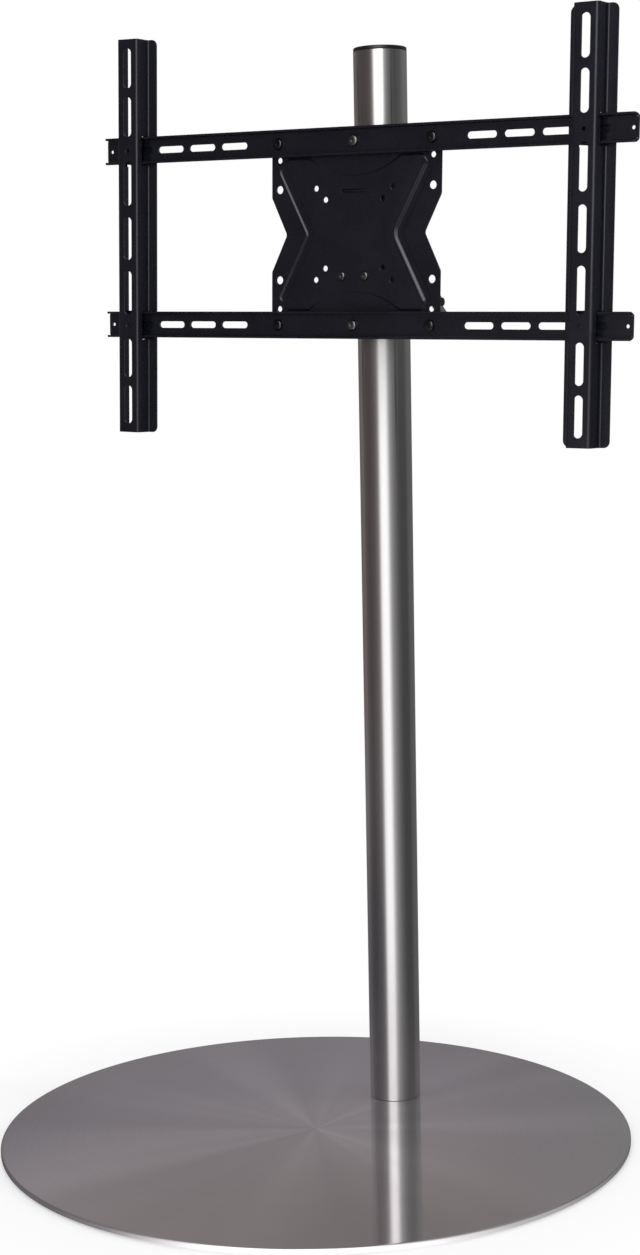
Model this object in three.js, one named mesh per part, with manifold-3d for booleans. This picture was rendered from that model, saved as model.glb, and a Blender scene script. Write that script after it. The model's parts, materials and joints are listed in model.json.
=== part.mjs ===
// A display stand: a round floor disc, a round pole, and a levelled screen bracket that slides,
// swivels and tilts on the pole. Millimetres, +Z up. The origin is the disc's centre on the
// floor, and the bracket faces -Y.
import * as THREE from "three";
import { mergeVertices } from "three/addons/utils/BufferGeometryUtils.js";
import Module from "manifold-3d";

const wasm = await Module();
wasm.setup();

// Fits and allowances shared by every piece
const gap = 0.3; // air between faces that meet
const running = 0.3; // radial air of a turning fit
const overrun = 5; // how far a cutter runs past the face it cuts
const sink = 0.6; // how far a joined lump starts inside its carrier
const sheet = 2.5; // bracket sheet steel
const slot_flat = 0.05; // straight bit left between a slot end's two arcs

// Facet counts
const disc_sides = 96;
const disc_edge_steps = 2;
const pole_sides = 48;
const ring_sides = 36;
const screw_sides = 16;
const hole_sides = 12;
const bend_steps = 3;
const arc_steps = 8;

// Floor disc and pads
const disc_radius = 360;
const disc_thickness = 6.5;
const disc_edge_round = 1.6;
const pad_height = 1.5;
const pad_radius = 12;
const pad_count = 6;
const pad_inset = 34; // pad edge to disc edge

// Pole
const pole_radius = 30;
const pole_wall = 2;
const pole_top = 1219;
const pole_setback = 154; // pole axis behind the disc's centre
const base_turn_deg = 5.4; // how far the base stands turned under the bracket
const cap_height = 4;
const cap_edge_round = 1.2;
const cap_plug_length = 18;
const cap_plug_wall = 3;
const cap_rim_groove = 0.8;
const plug_thickness = 18;
const base_bolt_radius = 4;
const base_bolt_head_radius = 7.5;
const base_bolt_head_height = 4;
const base_bolt_circle = 17;
const base_bolt_count = 3;
const base_bolt_length = 18;
const socket_share = 0.5; // hex socket across a screw head's radius
const socket_depth_share = 0.55;

// Bracket placement
const mount_height = 1018.5; // plate centre above the floor
const mount_reach = 60; // plate front plane in front of the pole axis
const level_turn_deg = 1.7; // how far the bracket hangs off level

// Swivel sleeve with a thick clamp band at its foot, and its bushes
const bush_wall = 1.9;
const bush_length = 10;
const bush_flange = 2;
const sleeve_wall = 4.2;
const sleeve_rise = 60; // above the plate's centre
const sleeve_drop = 92; // below the plate's centre
const sleeve_edge = 1;
const band_radius = 40;
const band_height = 30;
const band_edge = 2;

// Clamp screw with its wing handle, on the band's right side
const clamp_drop = 76; // below the plate's centre
const clamp_radius = 4.7;
const clamp_boss_radius = 9;
const clamp_boss_end = 52; // from the pole axis
const clamp_end = 78; // stud end, from the pole axis
const clamp_pad_thickness = 2;
const wing_hub_radius = 8;
const wing_hub_length = 6;
const wing_hub_end = 73; // from the pole axis
const wing_span = 24;
const wing_thickness = 3.4;
const wing_tip_width = 9;
const wing_root_width = 6;
const wing_flare = 0; // how far the tip leans outward
const wing_turn_deg = 45;

// Tilt hinge behind the plate
const tilt_axis_back = 16.2; // tilt axis behind the plate's front plane
const tilt_bolt_radius = 4;
const tilt_head_height = 5;
const tilt_head_radius = 6.5;
const tilt_nut_height = 7;
const tilt_nut_radius = 7.4;
const tilt_washer_radius = 7;
const tilt_washer_thickness = 1.6;
const lug_radius = 6.5;
const lug_thickness = 8;
const lug_gap_half = 14; // half the slot that the knuckle fills
const knuckle_disc_radius = 24;
const knuckle_disc_thickness = 4;
const knuckle_web_half = 7.5;

// Hook plate, level bolt and head screws
const hook_half_width = 30;
const hook_half_height = 57;
const hook_thickness = 3;
const hook_corner = 5;
const hook_slot_height = 46.5; // above the plate's centre
const hook_slot_half = 16.2;
const hook_slot_open = 3.6;
const tongue_half = 14;
const tongue_thickness = 2.4;
const tongue_sink = 1.8; // tongue end behind the panel's front
const level_bolt_radius = 4;
const level_head_radius = 7.5;
const level_head_height = 2.2;
const level_bolt_length = 6.4;
const head_screw_side = 15;
const head_screw_drop = 46;
const head_screw_radius = 2.6;
const head_screw_head_radius = 4.8;
const head_screw_head_height = 2.6;
const head_screw_length = 12;

// Pressed plate
const plate_half_width = 110.5;
const plate_half_height = 112;
const plate_corner = 4;
const waist_half_width = 90;
const waist_start = 41; // where the straight sides end
const waist_round = 5;
const panel_raise = 1.5;
const panel_slope = 3; // width of the bent edge round the panel
const panel_waist_half = 59;
const panel_corner_side = 96.3;
const panel_corner_height = 71;
const panel_nose_side = 88.5;
const panel_nose_height = 84.6;
const panel_arc_height = 64.5; // where the end arcs come closest to the centre
const panel_arc_side = 59; // where the end arcs meet the noses
const panel_round = 8;
const groove_depth = 1.2; // pressed back along the panel's flanks
const groove_floor_half = 2.9;
const groove_lean = 1.4; // run of a groove's side for each millimetre of depth
const groove_waist_side = 58.3;
const groove_end_side = 90.4;
const groove_end_height = 66;
const screen_hole_radius = 3.25;
const screen_hole_wide_radius = 4.5;
const small_grid_half = 37.5;
const middle_grid_half = 50;
const wide_grid_half = 100;
const corner_hole_height = 82;

// Rails
const rail_half_length = 344;
const rail_height = 30;
const rail_depth = 10.2; // flange tips in front of the plate
const rail_bend = 2; // inner bend radius
const rail_spacing_half = 100; // rail centre above and below the plate's centre
const rail_end_round = 3.5;
const rail_slot_first = 161;
const rail_slot_pitch = 45;
const rail_slot_end = 20; // least steel between the last slot and the rail's end
const rail_slot_length = 36;
const rail_slot_width = 7.5;
const rail_end_hole = 6.5; // from the rail's end
const rail_end_hole_radius = 2.1;
const rail_screw_radius = 3;
const rail_screw_head_radius = 6.2;
const rail_screw_head_height = 3.5;
const rail_screw_dome_share = 0.45;
const rail_nut_radius = 5.8;
const rail_nut_height = 5;
const rail_screw_sides = [-1, 0, 1];

// Arms
const arm_half_length = 225.5;
const arm_face_half = 15;
const arm_flange_half = 27.3;
const arm_depth = 20; // face in front of the flanges
const arm_sheet = 1.8;
const arm_bend = 2.2;
const arm_end_round = 7;
const arm_slot_width = 10.5;
const arm_slot_heights = [0, 62.5, 138.3, 192.8];
const arm_slot_lengths = [49, 50, 44.5, 44.5];
const arm_window_clear = 1.35; // round the rail
const arm_hang = 0.9; // how far the arms hang down in their windows
const left_arm_skew_deg = 0.46; // play of the arms on the rails
const right_arm_skew_deg = -0.33;
const arm_hole_radius = 2.3;
const arm_strap_half_height = 17; // strap welded between the flanges, behind each rail
const arm_strap_inset = 0.2; // strap faces inside the flange faces
const arm_strap_lap = 1.5; // strap end behind the flange
const left_arm_from_end = 41.8; // arm centre to the rail's end
const right_arm_from_end = 53.8;
const lock_screw_radius = 2;
const lock_screw_length = 16.2;

const degrees = Math.PI / 180;
const quarter = Math.PI / 2;
const black_steel = { color: 0x1f2024, roughness: 0.5, metalness: 0.35 };
const brushed_steel = { color: 0x9b9894, roughness: 0.32, metalness: 0.95 };
const zinc = { color: 0xb4b6b8, roughness: 0.4, metalness: 0.9 };
const black_plastic = { color: 0x151517, roughness: 0.45, metalness: 0 };
const nylon = { color: 0xe6e3da, roughness: 0.6, metalness: 0 };
const rubber = { color: 0x242424, roughness: 0.9, metalness: 0 };

// Closed geometry to solid and back
function solidOf(geometry) {
  const bare = new THREE.BufferGeometry();
  bare.setAttribute("position", geometry.attributes.position.clone());
  if (geometry.index) bare.setIndex(geometry.index.clone());
  const merged = mergeVertices(bare);
  return new wasm.Manifold(
    new wasm.Mesh({
      numProp: 3,
      vertProperties: new Float32Array(merged.attributes.position.array),
      triVerts: new Uint32Array(merged.index.array),
    }),
  );
}

function geometryOf(solid) {
  const mesh = solid.getMesh();
  const geometry = new THREE.BufferGeometry();
  geometry.setAttribute("position", new THREE.BufferAttribute(mesh.vertProperties, mesh.numProp));
  geometry.setIndex(new THREE.BufferAttribute(mesh.triVerts, 1));
  return geometry;
}

// Lays all cutters in a list away from a solid
function cut(solid, geometries) {
  return geometries.reduce((body, geometry) => body.subtract(solidOf(geometry)), solid);
}

function join(geometries) {
  return geometries.map(solidOf).reduce((body, more) => body.add(more));
}

// A closed outline whose corners, given as [x, y, radius], are rounded by arcs
function roundedOutline(corners, steps = bend_steps) {
  const points = [];
  corners.forEach(([x, y, radius = 0], i) => {
    const here = new THREE.Vector2(x, y);
    const [ax, ay] = corners[(i + corners.length - 1) % corners.length];
    const [bx, by] = corners[(i + 1) % corners.length];
    const back = new THREE.Vector2(ax, ay).sub(here).normalize();
    const ahead = new THREE.Vector2(bx, by).sub(here).normalize();
    const half_angle = Math.acos(THREE.MathUtils.clamp(back.dot(ahead), -1, 1)) / 2;
    if (radius === 0) {
      points.push(here);
      return;
    }
    const reach = radius / Math.tan(half_angle);
    const start = here.clone().addScaledVector(back, reach);
    const end = here.clone().addScaledVector(ahead, reach);
    const centre = here
      .clone()
      .addScaledVector(back.clone().add(ahead).normalize(), radius / Math.sin(half_angle));
    const from = start.clone().sub(centre).angle();
    let sweep = end.clone().sub(centre).angle() - from;
    sweep = Math.atan2(Math.sin(sweep), Math.cos(sweep));
    for (let k = 0; k <= steps; k += 1) {
      const angle = from + (sweep * k) / steps;
      points.push(
        new THREE.Vector2(
          centre.x + radius * Math.cos(angle),
          centre.y + radius * Math.sin(angle),
        ),
      );
    }
  });
  return points;
}

// Mirrors the first quarter of an outline, in drawing order, into all four quarters
function fourFold(quarter_corners) {
  const upper_left = [...quarter_corners].reverse().map(([x, y, r]) => [-x, y, r]);
  const lower_left = quarter_corners.map(([x, y, r]) => [-x, -y, r]);
  const lower_right = [...quarter_corners].reverse().map(([x, y, r]) => [x, -y, r]);
  const all = [...quarter_corners, ...upper_left, ...lower_left, ...lower_right];
  return all.filter(([x, y], i) => {
    const [px, py] = all[(i + all.length - 1) % all.length];
    return Math.hypot(x - px, y - py) > 0;
  });
}

function rectangle(half_x, half_y, radius = 0) {
  return roundedOutline(fourFold([[half_x, half_y, radius]]));
}

// A slot with round ends
function slotOutline(half_x, half_y) {
  return rectangle(half_x, half_y, Math.min(half_x, half_y) - slot_flat);
}

function circle(x, y, radius, sides = hole_sides) {
  return Array.from({ length: sides }, (_, i) => {
    const angle = (2 * Math.PI * i) / sides;
    return new THREE.Vector2(x + radius * Math.cos(angle), y + radius * Math.sin(angle));
  });
}

// Two half circles round [-half_length, 0] and [half_length, 0], joined by straight sides
function stadium(half_length, radius) {
  const points = [];
  [1, -1].forEach((end) => {
    for (let i = -hole_sides / 4; i <= hole_sides / 4; i += 1) {
      const angle = (2 * Math.PI * i) / hole_sides;
      const x = end * (half_length + radius * Math.cos(angle));
      points.push(new THREE.Vector2(x, end * radius * Math.sin(angle)));
    }
  });
  return points;
}

// A prism of a drawn outline, from height low to high
function prism(points, low, high) {
  const geometry = new THREE.ExtrudeGeometry(new THREE.Shape(points), {
    depth: high - low,
    bevelEnabled: false,
  });
  return geometry.translate(0, 0, low);
}

// The same prism stood up: drawn x goes right, drawn y goes up, and the prism runs from front
// to back, both given as distances behind the plate's front plane
function upright(points, front, back) {
  return prism(points, -back, -front).rotateX(quarter);
}

// A prism along X of an outline drawn as [distance behind the plate's front plane, height]
function alongX(points, start, end) {
  return prism(points, start, end).rotateX(quarter).rotateZ(quarter);
}

// A turned piece about +Z from [radius, height] pairs
function turned(profile, sides) {
  return new THREE.LatheGeometry(
    profile.map(([r, z]) => new THREE.Vector2(r, z)),
    sides,
  ).rotateX(quarter);
}

// Closes a turned ring's profile on itself
function ringProfile(inner, outer, low, high, edge = 0) {
  const corners = [
    [inner, low],
    [outer - edge, low],
    [outer, low + edge],
    [outer, high - edge],
    [outer - edge, high],
    [inner, high],
    [inner, low],
  ];
  return corners.filter(
    ([r, z], i) => i === 0 || r !== corners[i - 1][0] || z !== corners[i - 1][1],
  );
}

// A rod or hole cutter along X, Y or Z
function rodZ(radius, low, high, sides = hole_sides) {
  return prism(circle(0, 0, radius, sides), low, high);
}

function rodX(radius, low, high, sides = hole_sides) {
  return rodZ(radius, low, high, sides).rotateY(quarter);
}

function rodY(x, z, radius, front, back, sides = hole_sides) {
  return upright(circle(x, z, radius, sides), front, back);
}

function hexagon(radius) {
  return circle(0, 0, radius, 6);
}

function mesh(name, solid, look) {
  const geometry = solid.isBufferGeometry ? solid : geometryOf(solid);
  const made = new THREE.Mesh(geometry, new THREE.MeshStandardMaterial(look));
  made.name = name;
  return made;
}

// A button-head screw along Y with its head's underside at y = 0 and its shank going back
function buttonScrew(shank_radius, head_radius, head_height, length, dome_share) {
  const shoulder = head_height * (1 - dome_share);
  const rise = head_height - shoulder;
  const dome = Array.from({ length: bend_steps + 1 }, (_, i) => {
    const angle = (quarter * i) / bend_steps;
    const share = 1 - dome_share + dome_share * Math.cos(angle);
    return [head_radius * share, shoulder + rise * Math.sin(angle)];
  });
  const crown = dome[dome.length - 1];
  const profile = [
    [0, -length],
    [shank_radius, -length],
    [shank_radius, 0],
    [head_radius, 0],
    ...dome,
    [0, crown[1]],
  ];
  const body = solidOf(turned(profile, screw_sides));
  const depth = head_height * socket_depth_share;
  const socket = prism(hexagon(head_radius * socket_share), head_height - depth, head_height + overrun);
  return geometryOf(body.subtract(solidOf(socket))).rotateX(quarter);
}

const disc_top = pad_height + disc_thickness;
const bush_inner = pole_radius + running;
const bush_outer = bush_inner + bush_wall;
const sleeve_inner = bush_outer + running;
const sleeve_outer = sleeve_inner + sleeve_wall;
const tilt_axis_front = mount_reach - tilt_axis_back; // tilt axis in front of the pole axis

// Floor disc, pads, pole and the bolts that join them
function base() {
  const group = new THREE.Group();
  const foot = [0, pole_setback];
  const disc_profile = roundedOutline([
    [0, pad_height],
    [disc_radius, pad_height, disc_edge_round],
    [disc_radius, disc_top, disc_edge_round],
    [0, disc_top],
  ], disc_edge_steps);
  const disc = solidOf(turned(disc_profile.map((p) => p.toArray()), disc_sides));
  const bolt_places = Array.from({ length: base_bolt_count }, (_, i) => {
    const angle = quarter + (2 * Math.PI * i) / base_bolt_count;
    return [base_bolt_circle * Math.cos(angle), pole_setback + base_bolt_circle * Math.sin(angle)];
  });
  const bolt_profile = (extra) => [
    [0, pad_height],
    [base_bolt_head_radius + extra, pad_height],
    [base_bolt_radius + extra, pad_height + base_bolt_head_height],
    [base_bolt_radius + extra, pad_height + base_bolt_length + extra],
    [0, pad_height + base_bolt_length + extra],
  ];
  const bolt_holes = bolt_places.map(([x, y]) =>
    turned(bolt_profile(gap), screw_sides).translate(x, y, 0),
  );
  const bolt_mouths = bolt_places.map(([x, y]) =>
    rodZ(base_bolt_head_radius + gap, pad_height - overrun, pad_height + sink / 2).translate(x, y, 0),
  );
  group.add(mesh("base_disc", cut(disc, [...bolt_holes, ...bolt_mouths]), brushed_steel));

  for (let i = 0; i < pad_count; i += 1) {
    const angle = (2 * Math.PI * (i + 0.5)) / pad_count;
    const reach = disc_radius - pad_inset - pad_radius;
    const pad = rodZ(pad_radius, 0, pad_height - gap / 2, screw_sides);
    pad.translate(reach * Math.cos(angle), reach * Math.sin(angle), 0);
    group.add(mesh(`floor_pad_${i + 1}`, pad, rubber));
  }

  bolt_places.forEach(([x, y], i) => {
    const body = solidOf(turned(bolt_profile(0), screw_sides));
    const depth = base_bolt_head_height * socket_depth_share;
    const key = hexagon(base_bolt_head_radius * socket_share);
    const socket = prism(key, pad_height - overrun, pad_height + depth);
    const bolt = geometryOf(body.subtract(solidOf(socket))).translate(x, y, 0);
    group.add(mesh(`base_bolt_${i + 1}`, bolt, zinc));
  });

  const tube_low = disc_top + gap;
  const tube = turned(ringProfile(pole_radius - pole_wall, pole_radius, tube_low, pole_top), pole_sides);
  group.add(mesh("pole_tube", tube.translate(...foot, 0), brushed_steel));

  const plug_radius = pole_radius - pole_wall - gap;
  const plug = prism(circle(...foot, plug_radius, pole_sides), tube_low, tube_low + plug_thickness);
  group.add(mesh("pole_plug", cut(solidOf(plug), bolt_holes), zinc));

  const cap_low = pole_top + gap;
  const cap_high = cap_low + cap_height;
  const plug_outer = pole_radius - pole_wall - gap;
  const cap = turned(
    [
      [0, cap_low],
      [plug_outer - cap_plug_wall, cap_low],
      [plug_outer - cap_plug_wall, cap_low - cap_plug_length],
      [plug_outer, cap_low - cap_plug_length],
      [plug_outer, cap_low],
      [pole_radius - cap_rim_groove, cap_low],
      [pole_radius, cap_low + cap_rim_groove],
      [pole_radius, cap_high - cap_edge_round],
      [pole_radius - cap_edge_round, cap_high],
      [0, cap_high],
    ],
    pole_sides,
  );
  group.add(mesh("pole_cap", cap.translate(...foot, 0), black_plastic));
  return group;
}

// Clamp screw with its wing and pad, on the sleeve's band
function clampHandle() {
  const group = new THREE.Group();
  group.position.z = -clamp_drop;
  const pad_start = pole_radius + running + gap;
  const screw_start = pad_start + clamp_pad_thickness + gap;
  const pad = rodX(clamp_radius, pad_start, pad_start + clamp_pad_thickness, screw_sides);
  group.add(mesh("clamp_pad", pad, nylon));

  const handle = new THREE.Group();
  handle.rotation.x = wing_turn_deg * degrees;
  handle.add(mesh("clamp_screw", rodX(clamp_radius, screw_start, clamp_end, screw_sides), black_plastic));
  const hub_start = wing_hub_end - wing_hub_length;
  const tip_start = hub_start + wing_flare;
  const tip_end = tip_start + wing_tip_width;
  const blade = roundedOutline([
    [hub_start, 0],
    [tip_start, -wing_span, wing_thickness],
    [tip_end, -wing_span, wing_thickness],
    [hub_start + wing_root_width, 0],
    [tip_end, wing_span, wing_thickness],
    [tip_start, wing_span, wing_thickness],
  ]);
  const wing = join([
    rodX(wing_hub_radius, hub_start, wing_hub_end, screw_sides),
    upright(blade, -wing_thickness / 2, wing_thickness / 2),
  ]);
  const bore = rodX(clamp_radius + gap, hub_start - overrun, clamp_end + overrun, screw_sides);
  handle.add(mesh("clamp_wing", cut(wing, [bore]), zinc));
  group.add(handle);
  return group;
}

// Swivel sleeve with tilt lugs, its bushes and the tilt bolt
function swivelSleeve() {
  const group = new THREE.Group();
  const lug_outer = lug_gap_half + lug_thickness;
  const axis_y = -tilt_axis_front;
  const lug_end = axis_y - lug_radius;
  const lug_root = -lug_outer;
  const lug_outline = roundedOutline([
    [lug_end, lug_radius, lug_radius - slot_flat],
    [lug_end, -lug_radius, lug_radius - slot_flat],
    [lug_root, -lug_radius],
    [lug_root, lug_radius],
  ]);
  const lugs = [-lug_outer, lug_gap_half].map((start) => alongX(lug_outline, start, start + lug_thickness));
  const tube = turned(
    ringProfile(sleeve_inner, sleeve_outer, -sleeve_drop, sleeve_rise, sleeve_edge),
    pole_sides,
  );
  const band = turned(
    ringProfile(sleeve_inner, band_radius, -sleeve_drop, -sleeve_drop + band_height, band_edge),
    pole_sides,
  );
  const boss = rodX(clamp_boss_radius, sleeve_inner, clamp_boss_end, ring_sides);
  const screw_hole = rodX(clamp_radius + gap, 0, clamp_boss_end + overrun, screw_sides);
  const inside = rodZ(sleeve_inner, -sleeve_drop - overrun, sleeve_rise + overrun, pole_sides);
  const bolt_hole = rodX(tilt_bolt_radius + gap, -lug_outer - overrun, lug_outer + overrun, screw_sides);
  const body = cut(join([tube, band, boss.translate(0, 0, -clamp_drop), ...lugs]), [
    inside,
    bolt_hole.translate(0, axis_y, 0),
    screw_hole.translate(0, 0, -clamp_drop),
  ]);
  group.add(mesh("swivel_sleeve", body, black_steel));

  [
    ["upper_bush", sleeve_rise],
    ["lower_bush", sleeve_drop],
  ].forEach(([name, end]) => {
    const seat = end + gap;
    const profile = [
      [bush_inner, end - bush_length],
      [bush_outer, end - bush_length],
      [bush_outer, seat],
      [sleeve_outer, seat],
      [sleeve_outer, seat + bush_flange],
      [bush_inner, seat + bush_flange],
      [bush_inner, end - bush_length],
    ];
    const bush = turned(profile, pole_sides);
    if (end === sleeve_drop) bush.rotateX(Math.PI);
    group.add(mesh(name, bush, nylon));
  });

  const washer_start = lug_outer + gap;
  const head_start = washer_start + tilt_washer_thickness + gap;
  const washer_bore = rodX(tilt_bolt_radius + gap, -head_start - overrun, head_start + overrun, screw_sides);
  [1, -1].forEach((side) => {
    const faces = [side * washer_start, side * (washer_start + tilt_washer_thickness)];
    const washer = rodX(tilt_washer_radius, Math.min(...faces), Math.max(...faces), screw_sides);
    const placed = geometryOf(cut(solidOf(washer), [washer_bore])).translate(0, axis_y, 0);
    group.add(mesh(side > 0 ? "tilt_washer_right" : "tilt_washer_left", placed, zinc));
  });

  const bolt_end = head_start + tilt_nut_height + sheet;
  const bolt = join([
    rodX(tilt_bolt_radius, -head_start - sink, bolt_end, screw_sides),
    rodX(tilt_head_radius, -head_start - tilt_head_height, -head_start, screw_sides),
  ]);
  const socket = prism(
    hexagon(tilt_head_radius * socket_share),
    -head_start - tilt_head_height - overrun,
    -head_start - tilt_head_height * (1 - socket_depth_share),
  ).rotateY(quarter);
  group.add(mesh("tilt_bolt", geometryOf(cut(bolt, [socket])).translate(0, axis_y, 0), zinc));

  const nut = prism(hexagon(tilt_nut_radius), head_start, head_start + tilt_nut_height).rotateY(quarter);
  const nut_bore = rodX(tilt_bolt_radius + gap, head_start - overrun, bolt_end + overrun, screw_sides);
  group.add(mesh("tilt_nut", geometryOf(cut(solidOf(nut), [nut_bore])).translate(0, axis_y, 0), zinc));
  return group;
}

const panel_back = sheet - panel_raise; // behind the plate's front plane
const hook_front = panel_back + gap;
const hook_back = hook_front + hook_thickness;
const knuckle_front = hook_back + gap;

// Tilt knuckle and the level bolt that stands in it, in the plate's frame
function tiltKnuckle() {
  const group = new THREE.Group();
  const barrel_half = lug_gap_half - gap;
  const disc_back = knuckle_front + knuckle_disc_thickness;
  const body = join([
    rodX(lug_radius, -barrel_half, barrel_half, ring_sides).translate(0, tilt_axis_back, 0),
    rodY(0, 0, knuckle_disc_radius, knuckle_front, disc_back, ring_sides),
    upright(rectangle(barrel_half, knuckle_web_half), disc_back - sink, tilt_axis_back),
  ]);
  const axle_reach = barrel_half + overrun;
  const axle_hole = rodX(tilt_bolt_radius + running, -axle_reach, axle_reach, screw_sides);
  const level_end = hook_front + level_head_height + level_bolt_length;
  const level_hole = rodY(0, 0, level_bolt_radius + gap, 0, level_end + gap);
  group.add(
    mesh("tilt_knuckle", cut(body, [axle_hole.translate(0, tilt_axis_back, 0), level_hole]), black_steel),
  );
  const bolt = join([
    rodY(0, 0, level_bolt_radius, hook_front + sink, level_end, screw_sides),
    rodY(0, 0, level_head_radius, hook_front, hook_front + level_head_height, screw_sides),
  ]);
  const socket_end = hook_front + level_head_height * socket_depth_share;
  const socket = upright(hexagon(level_head_radius * socket_share), 0, socket_end);
  group.add(mesh("level_bolt", cut(bolt, [socket]), zinc));
  return group;
}

// The hourglass panel pushed forward out of the plate, as a frustum with sloped sides whose top
// lies `front` behind the plate's front plane
function panelForm(front) {
  const arc_rise = panel_nose_height - panel_arc_height;
  const arc_radius = (panel_arc_side ** 2 + arc_rise ** 2) / (2 * arc_rise);
  const arc_centre = panel_arc_height + arc_radius;
  const spread = Math.asin(panel_arc_side / arc_radius);
  const arc = Array.from({ length: arc_steps + 1 }, (_, i) => {
    const angle = spread * (1 - i / arc_steps);
    const rounding = i === 0 ? panel_round : 0;
    return [arc_radius * Math.sin(angle), arc_centre - arc_radius * Math.cos(angle), rounding];
  });
  const corners = fourFold([
    [panel_waist_half, 0, panel_round],
    [panel_corner_side, panel_corner_height, panel_round],
    [panel_nose_side, panel_nose_height, panel_round],
    ...arc,
  ]);
  const shape = new THREE.Shape(roundedOutline(corners));
  const form = new THREE.ExtrudeGeometry(shape, {
    depth: sheet,
    bevelEnabled: true,
    bevelThickness: panel_raise,
    bevelSize: panel_slope,
    bevelOffset: -panel_slope,
    bevelSegments: 1,
  });
  return form.translate(0, 0, -front - panel_raise - sheet).rotateX(quarter);
}

// The flank grooves, mouths in front, with floors groove_depth + back behind the plate's front
// plane. Each flank is a frustum whose round ends meet at the waist.
function grooveForm(back) {
  const rise = groove_depth + panel_raise;
  const inset = rise * groove_lean;
  const run = new THREE.Vector2(groove_end_side - groove_waist_side, groove_end_height);
  const outline = stadium(run.length() / 2, groove_floor_half + inset);
  const flanks = [];
  [1, -1].forEach((side) => {
    [1, -1].forEach((up) => {
      const flank = new THREE.ExtrudeGeometry(new THREE.Shape(outline), {
        depth: overrun,
        bevelEnabled: true,
        bevelThickness: rise,
        bevelSize: inset,
        bevelOffset: -inset,
        bevelSegments: 1,
      });
      const middle_side = (groove_waist_side + groove_end_side) / 2;
      flank.rotateZ(Math.atan2(up * run.y, side * run.x));
      flank.translate(side * middle_side, (up * groove_end_height) / 2, rise - groove_depth - back);
      flanks.push(flank.rotateX(quarter));
    });
  });
  return join(flanks);
}

// The pressed plate
function vesaPlate() {
  const outline = fourFold([
    [waist_half_width, 0, waist_round],
    [plate_half_width, waist_start, waist_round],
    [plate_half_width, plate_half_height, plate_corner],
  ]);
  const blank = upright(roundedOutline(outline), 0, sheet);
  const raised = solidOf(blank).add(solidOf(panelForm(-panel_raise)));
  const wide = rectangle(plate_half_width + overrun, plate_half_height + overrun);
  const behind = upright(wide, sheet, sheet + overrun + overrun);
  const ribs = grooveForm(sheet).intersect(solidOf(upright(wide, sink, sheet + groove_depth + overrun)));
  const pressed = raised
    .subtract(solidOf(panelForm(-panel_raise + sheet)))
    .subtract(solidOf(behind))
    .add(ribs)
    .subtract(grooveForm(0));
  const through = [-panel_raise - overrun, sheet + groove_depth + overrun];
  const holes = [];
  [1, -1].forEach((side) => {
    [1, -1].forEach((up) => {
      [small_grid_half, middle_grid_half].forEach((half) => {
        holes.push(rodY(side * half, up * half, screen_hole_radius, ...through));
      });
      holes.push(rodY(side * wide_grid_half, up * middle_grid_half, screen_hole_wide_radius, ...through));
      holes.push(rodY(side * wide_grid_half, up * corner_hole_height, screen_hole_radius, ...through));
    });
    holes.push(rodY(side * head_screw_side, -head_screw_drop, head_screw_radius + gap, ...through));
  });
  rail_screw_sides.forEach((side) => {
    [1, -1].forEach((up) => {
      holes.push(rodY(side * wide_grid_half, up * rail_spacing_half, rail_screw_radius + gap, ...through));
    });
  });
  const slot = upright(rectangle(hook_slot_half, hook_slot_open / 2), ...through);
  holes.push(slot.translate(0, 0, hook_slot_height));
  return mesh("vesa_plate", cut(pressed, holes), black_steel);
}

// Hook plate behind the panel: its tongue stands in the plate's slot
function hookPlate() {
  const body = join([
    upright(rectangle(hook_half_width, hook_half_height, hook_corner), hook_front, hook_back),
    upright(
      rectangle(tongue_half, tongue_thickness / 2),
      -panel_raise + tongue_sink,
      hook_front + sink,
    ).translate(0, 0, hook_slot_height),
  ]);
  const through = [0, hook_back + overrun];
  const head_floor = hook_front + level_head_height + gap;
  const holes = [
    rodY(0, 0, level_bolt_radius + running, ...through),
    rodY(0, 0, level_head_radius + running, 0, head_floor, screw_sides),
  ];
  [1, -1].forEach((side) => {
    holes.push(rodY(side * head_screw_side, -head_screw_drop, head_screw_radius + gap, ...through));
  });
  return mesh("hook_plate", cut(body, holes), black_steel);
}

// One slotted channel rail, drawn at the plate's centre height
function rail(name) {
  const web_front = gap + sheet;
  const half = rail_height / 2;
  const outer_bend = rail_bend + sheet;
  const section = roundedOutline([
    [-gap, -half, outer_bend],
    [-gap, half, outer_bend],
    [-rail_depth, half, 0],
    [-rail_depth, half - sheet, 0],
    [-web_front, half - sheet, rail_bend],
    [-web_front, -half + sheet, rail_bend],
    [-rail_depth, -half + sheet, 0],
    [-rail_depth, -half, 0],
  ]);
  const channel = solidOf(alongX(section, -rail_half_length, rail_half_length));
  const ends = upright(
    rectangle(rail_half_length, half, rail_end_round),
    -rail_depth - overrun,
    overrun,
  );
  const through = [-rail_depth - overrun, overrun];
  const holes = [];
  const slot = slotOutline(rail_slot_length / 2, rail_slot_width / 2);
  const last_place = rail_half_length - rail_slot_end - rail_slot_length / 2;
  [1, -1].forEach((side) => {
    for (let place = rail_slot_first; place <= last_place; place += rail_slot_pitch) {
      holes.push(upright(slot, ...through).translate(side * place, 0, 0));
    }
    holes.push(rodY(side * (rail_half_length - rail_end_hole), 0, rail_end_hole_radius, ...through));
  });
  rail_screw_sides.forEach((side) => {
    holes.push(rodY(side * wide_grid_half, 0, rail_screw_radius + gap, ...through));
  });
  return mesh(name, cut(channel.intersect(solidOf(ends)), holes), black_steel);
}

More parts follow.
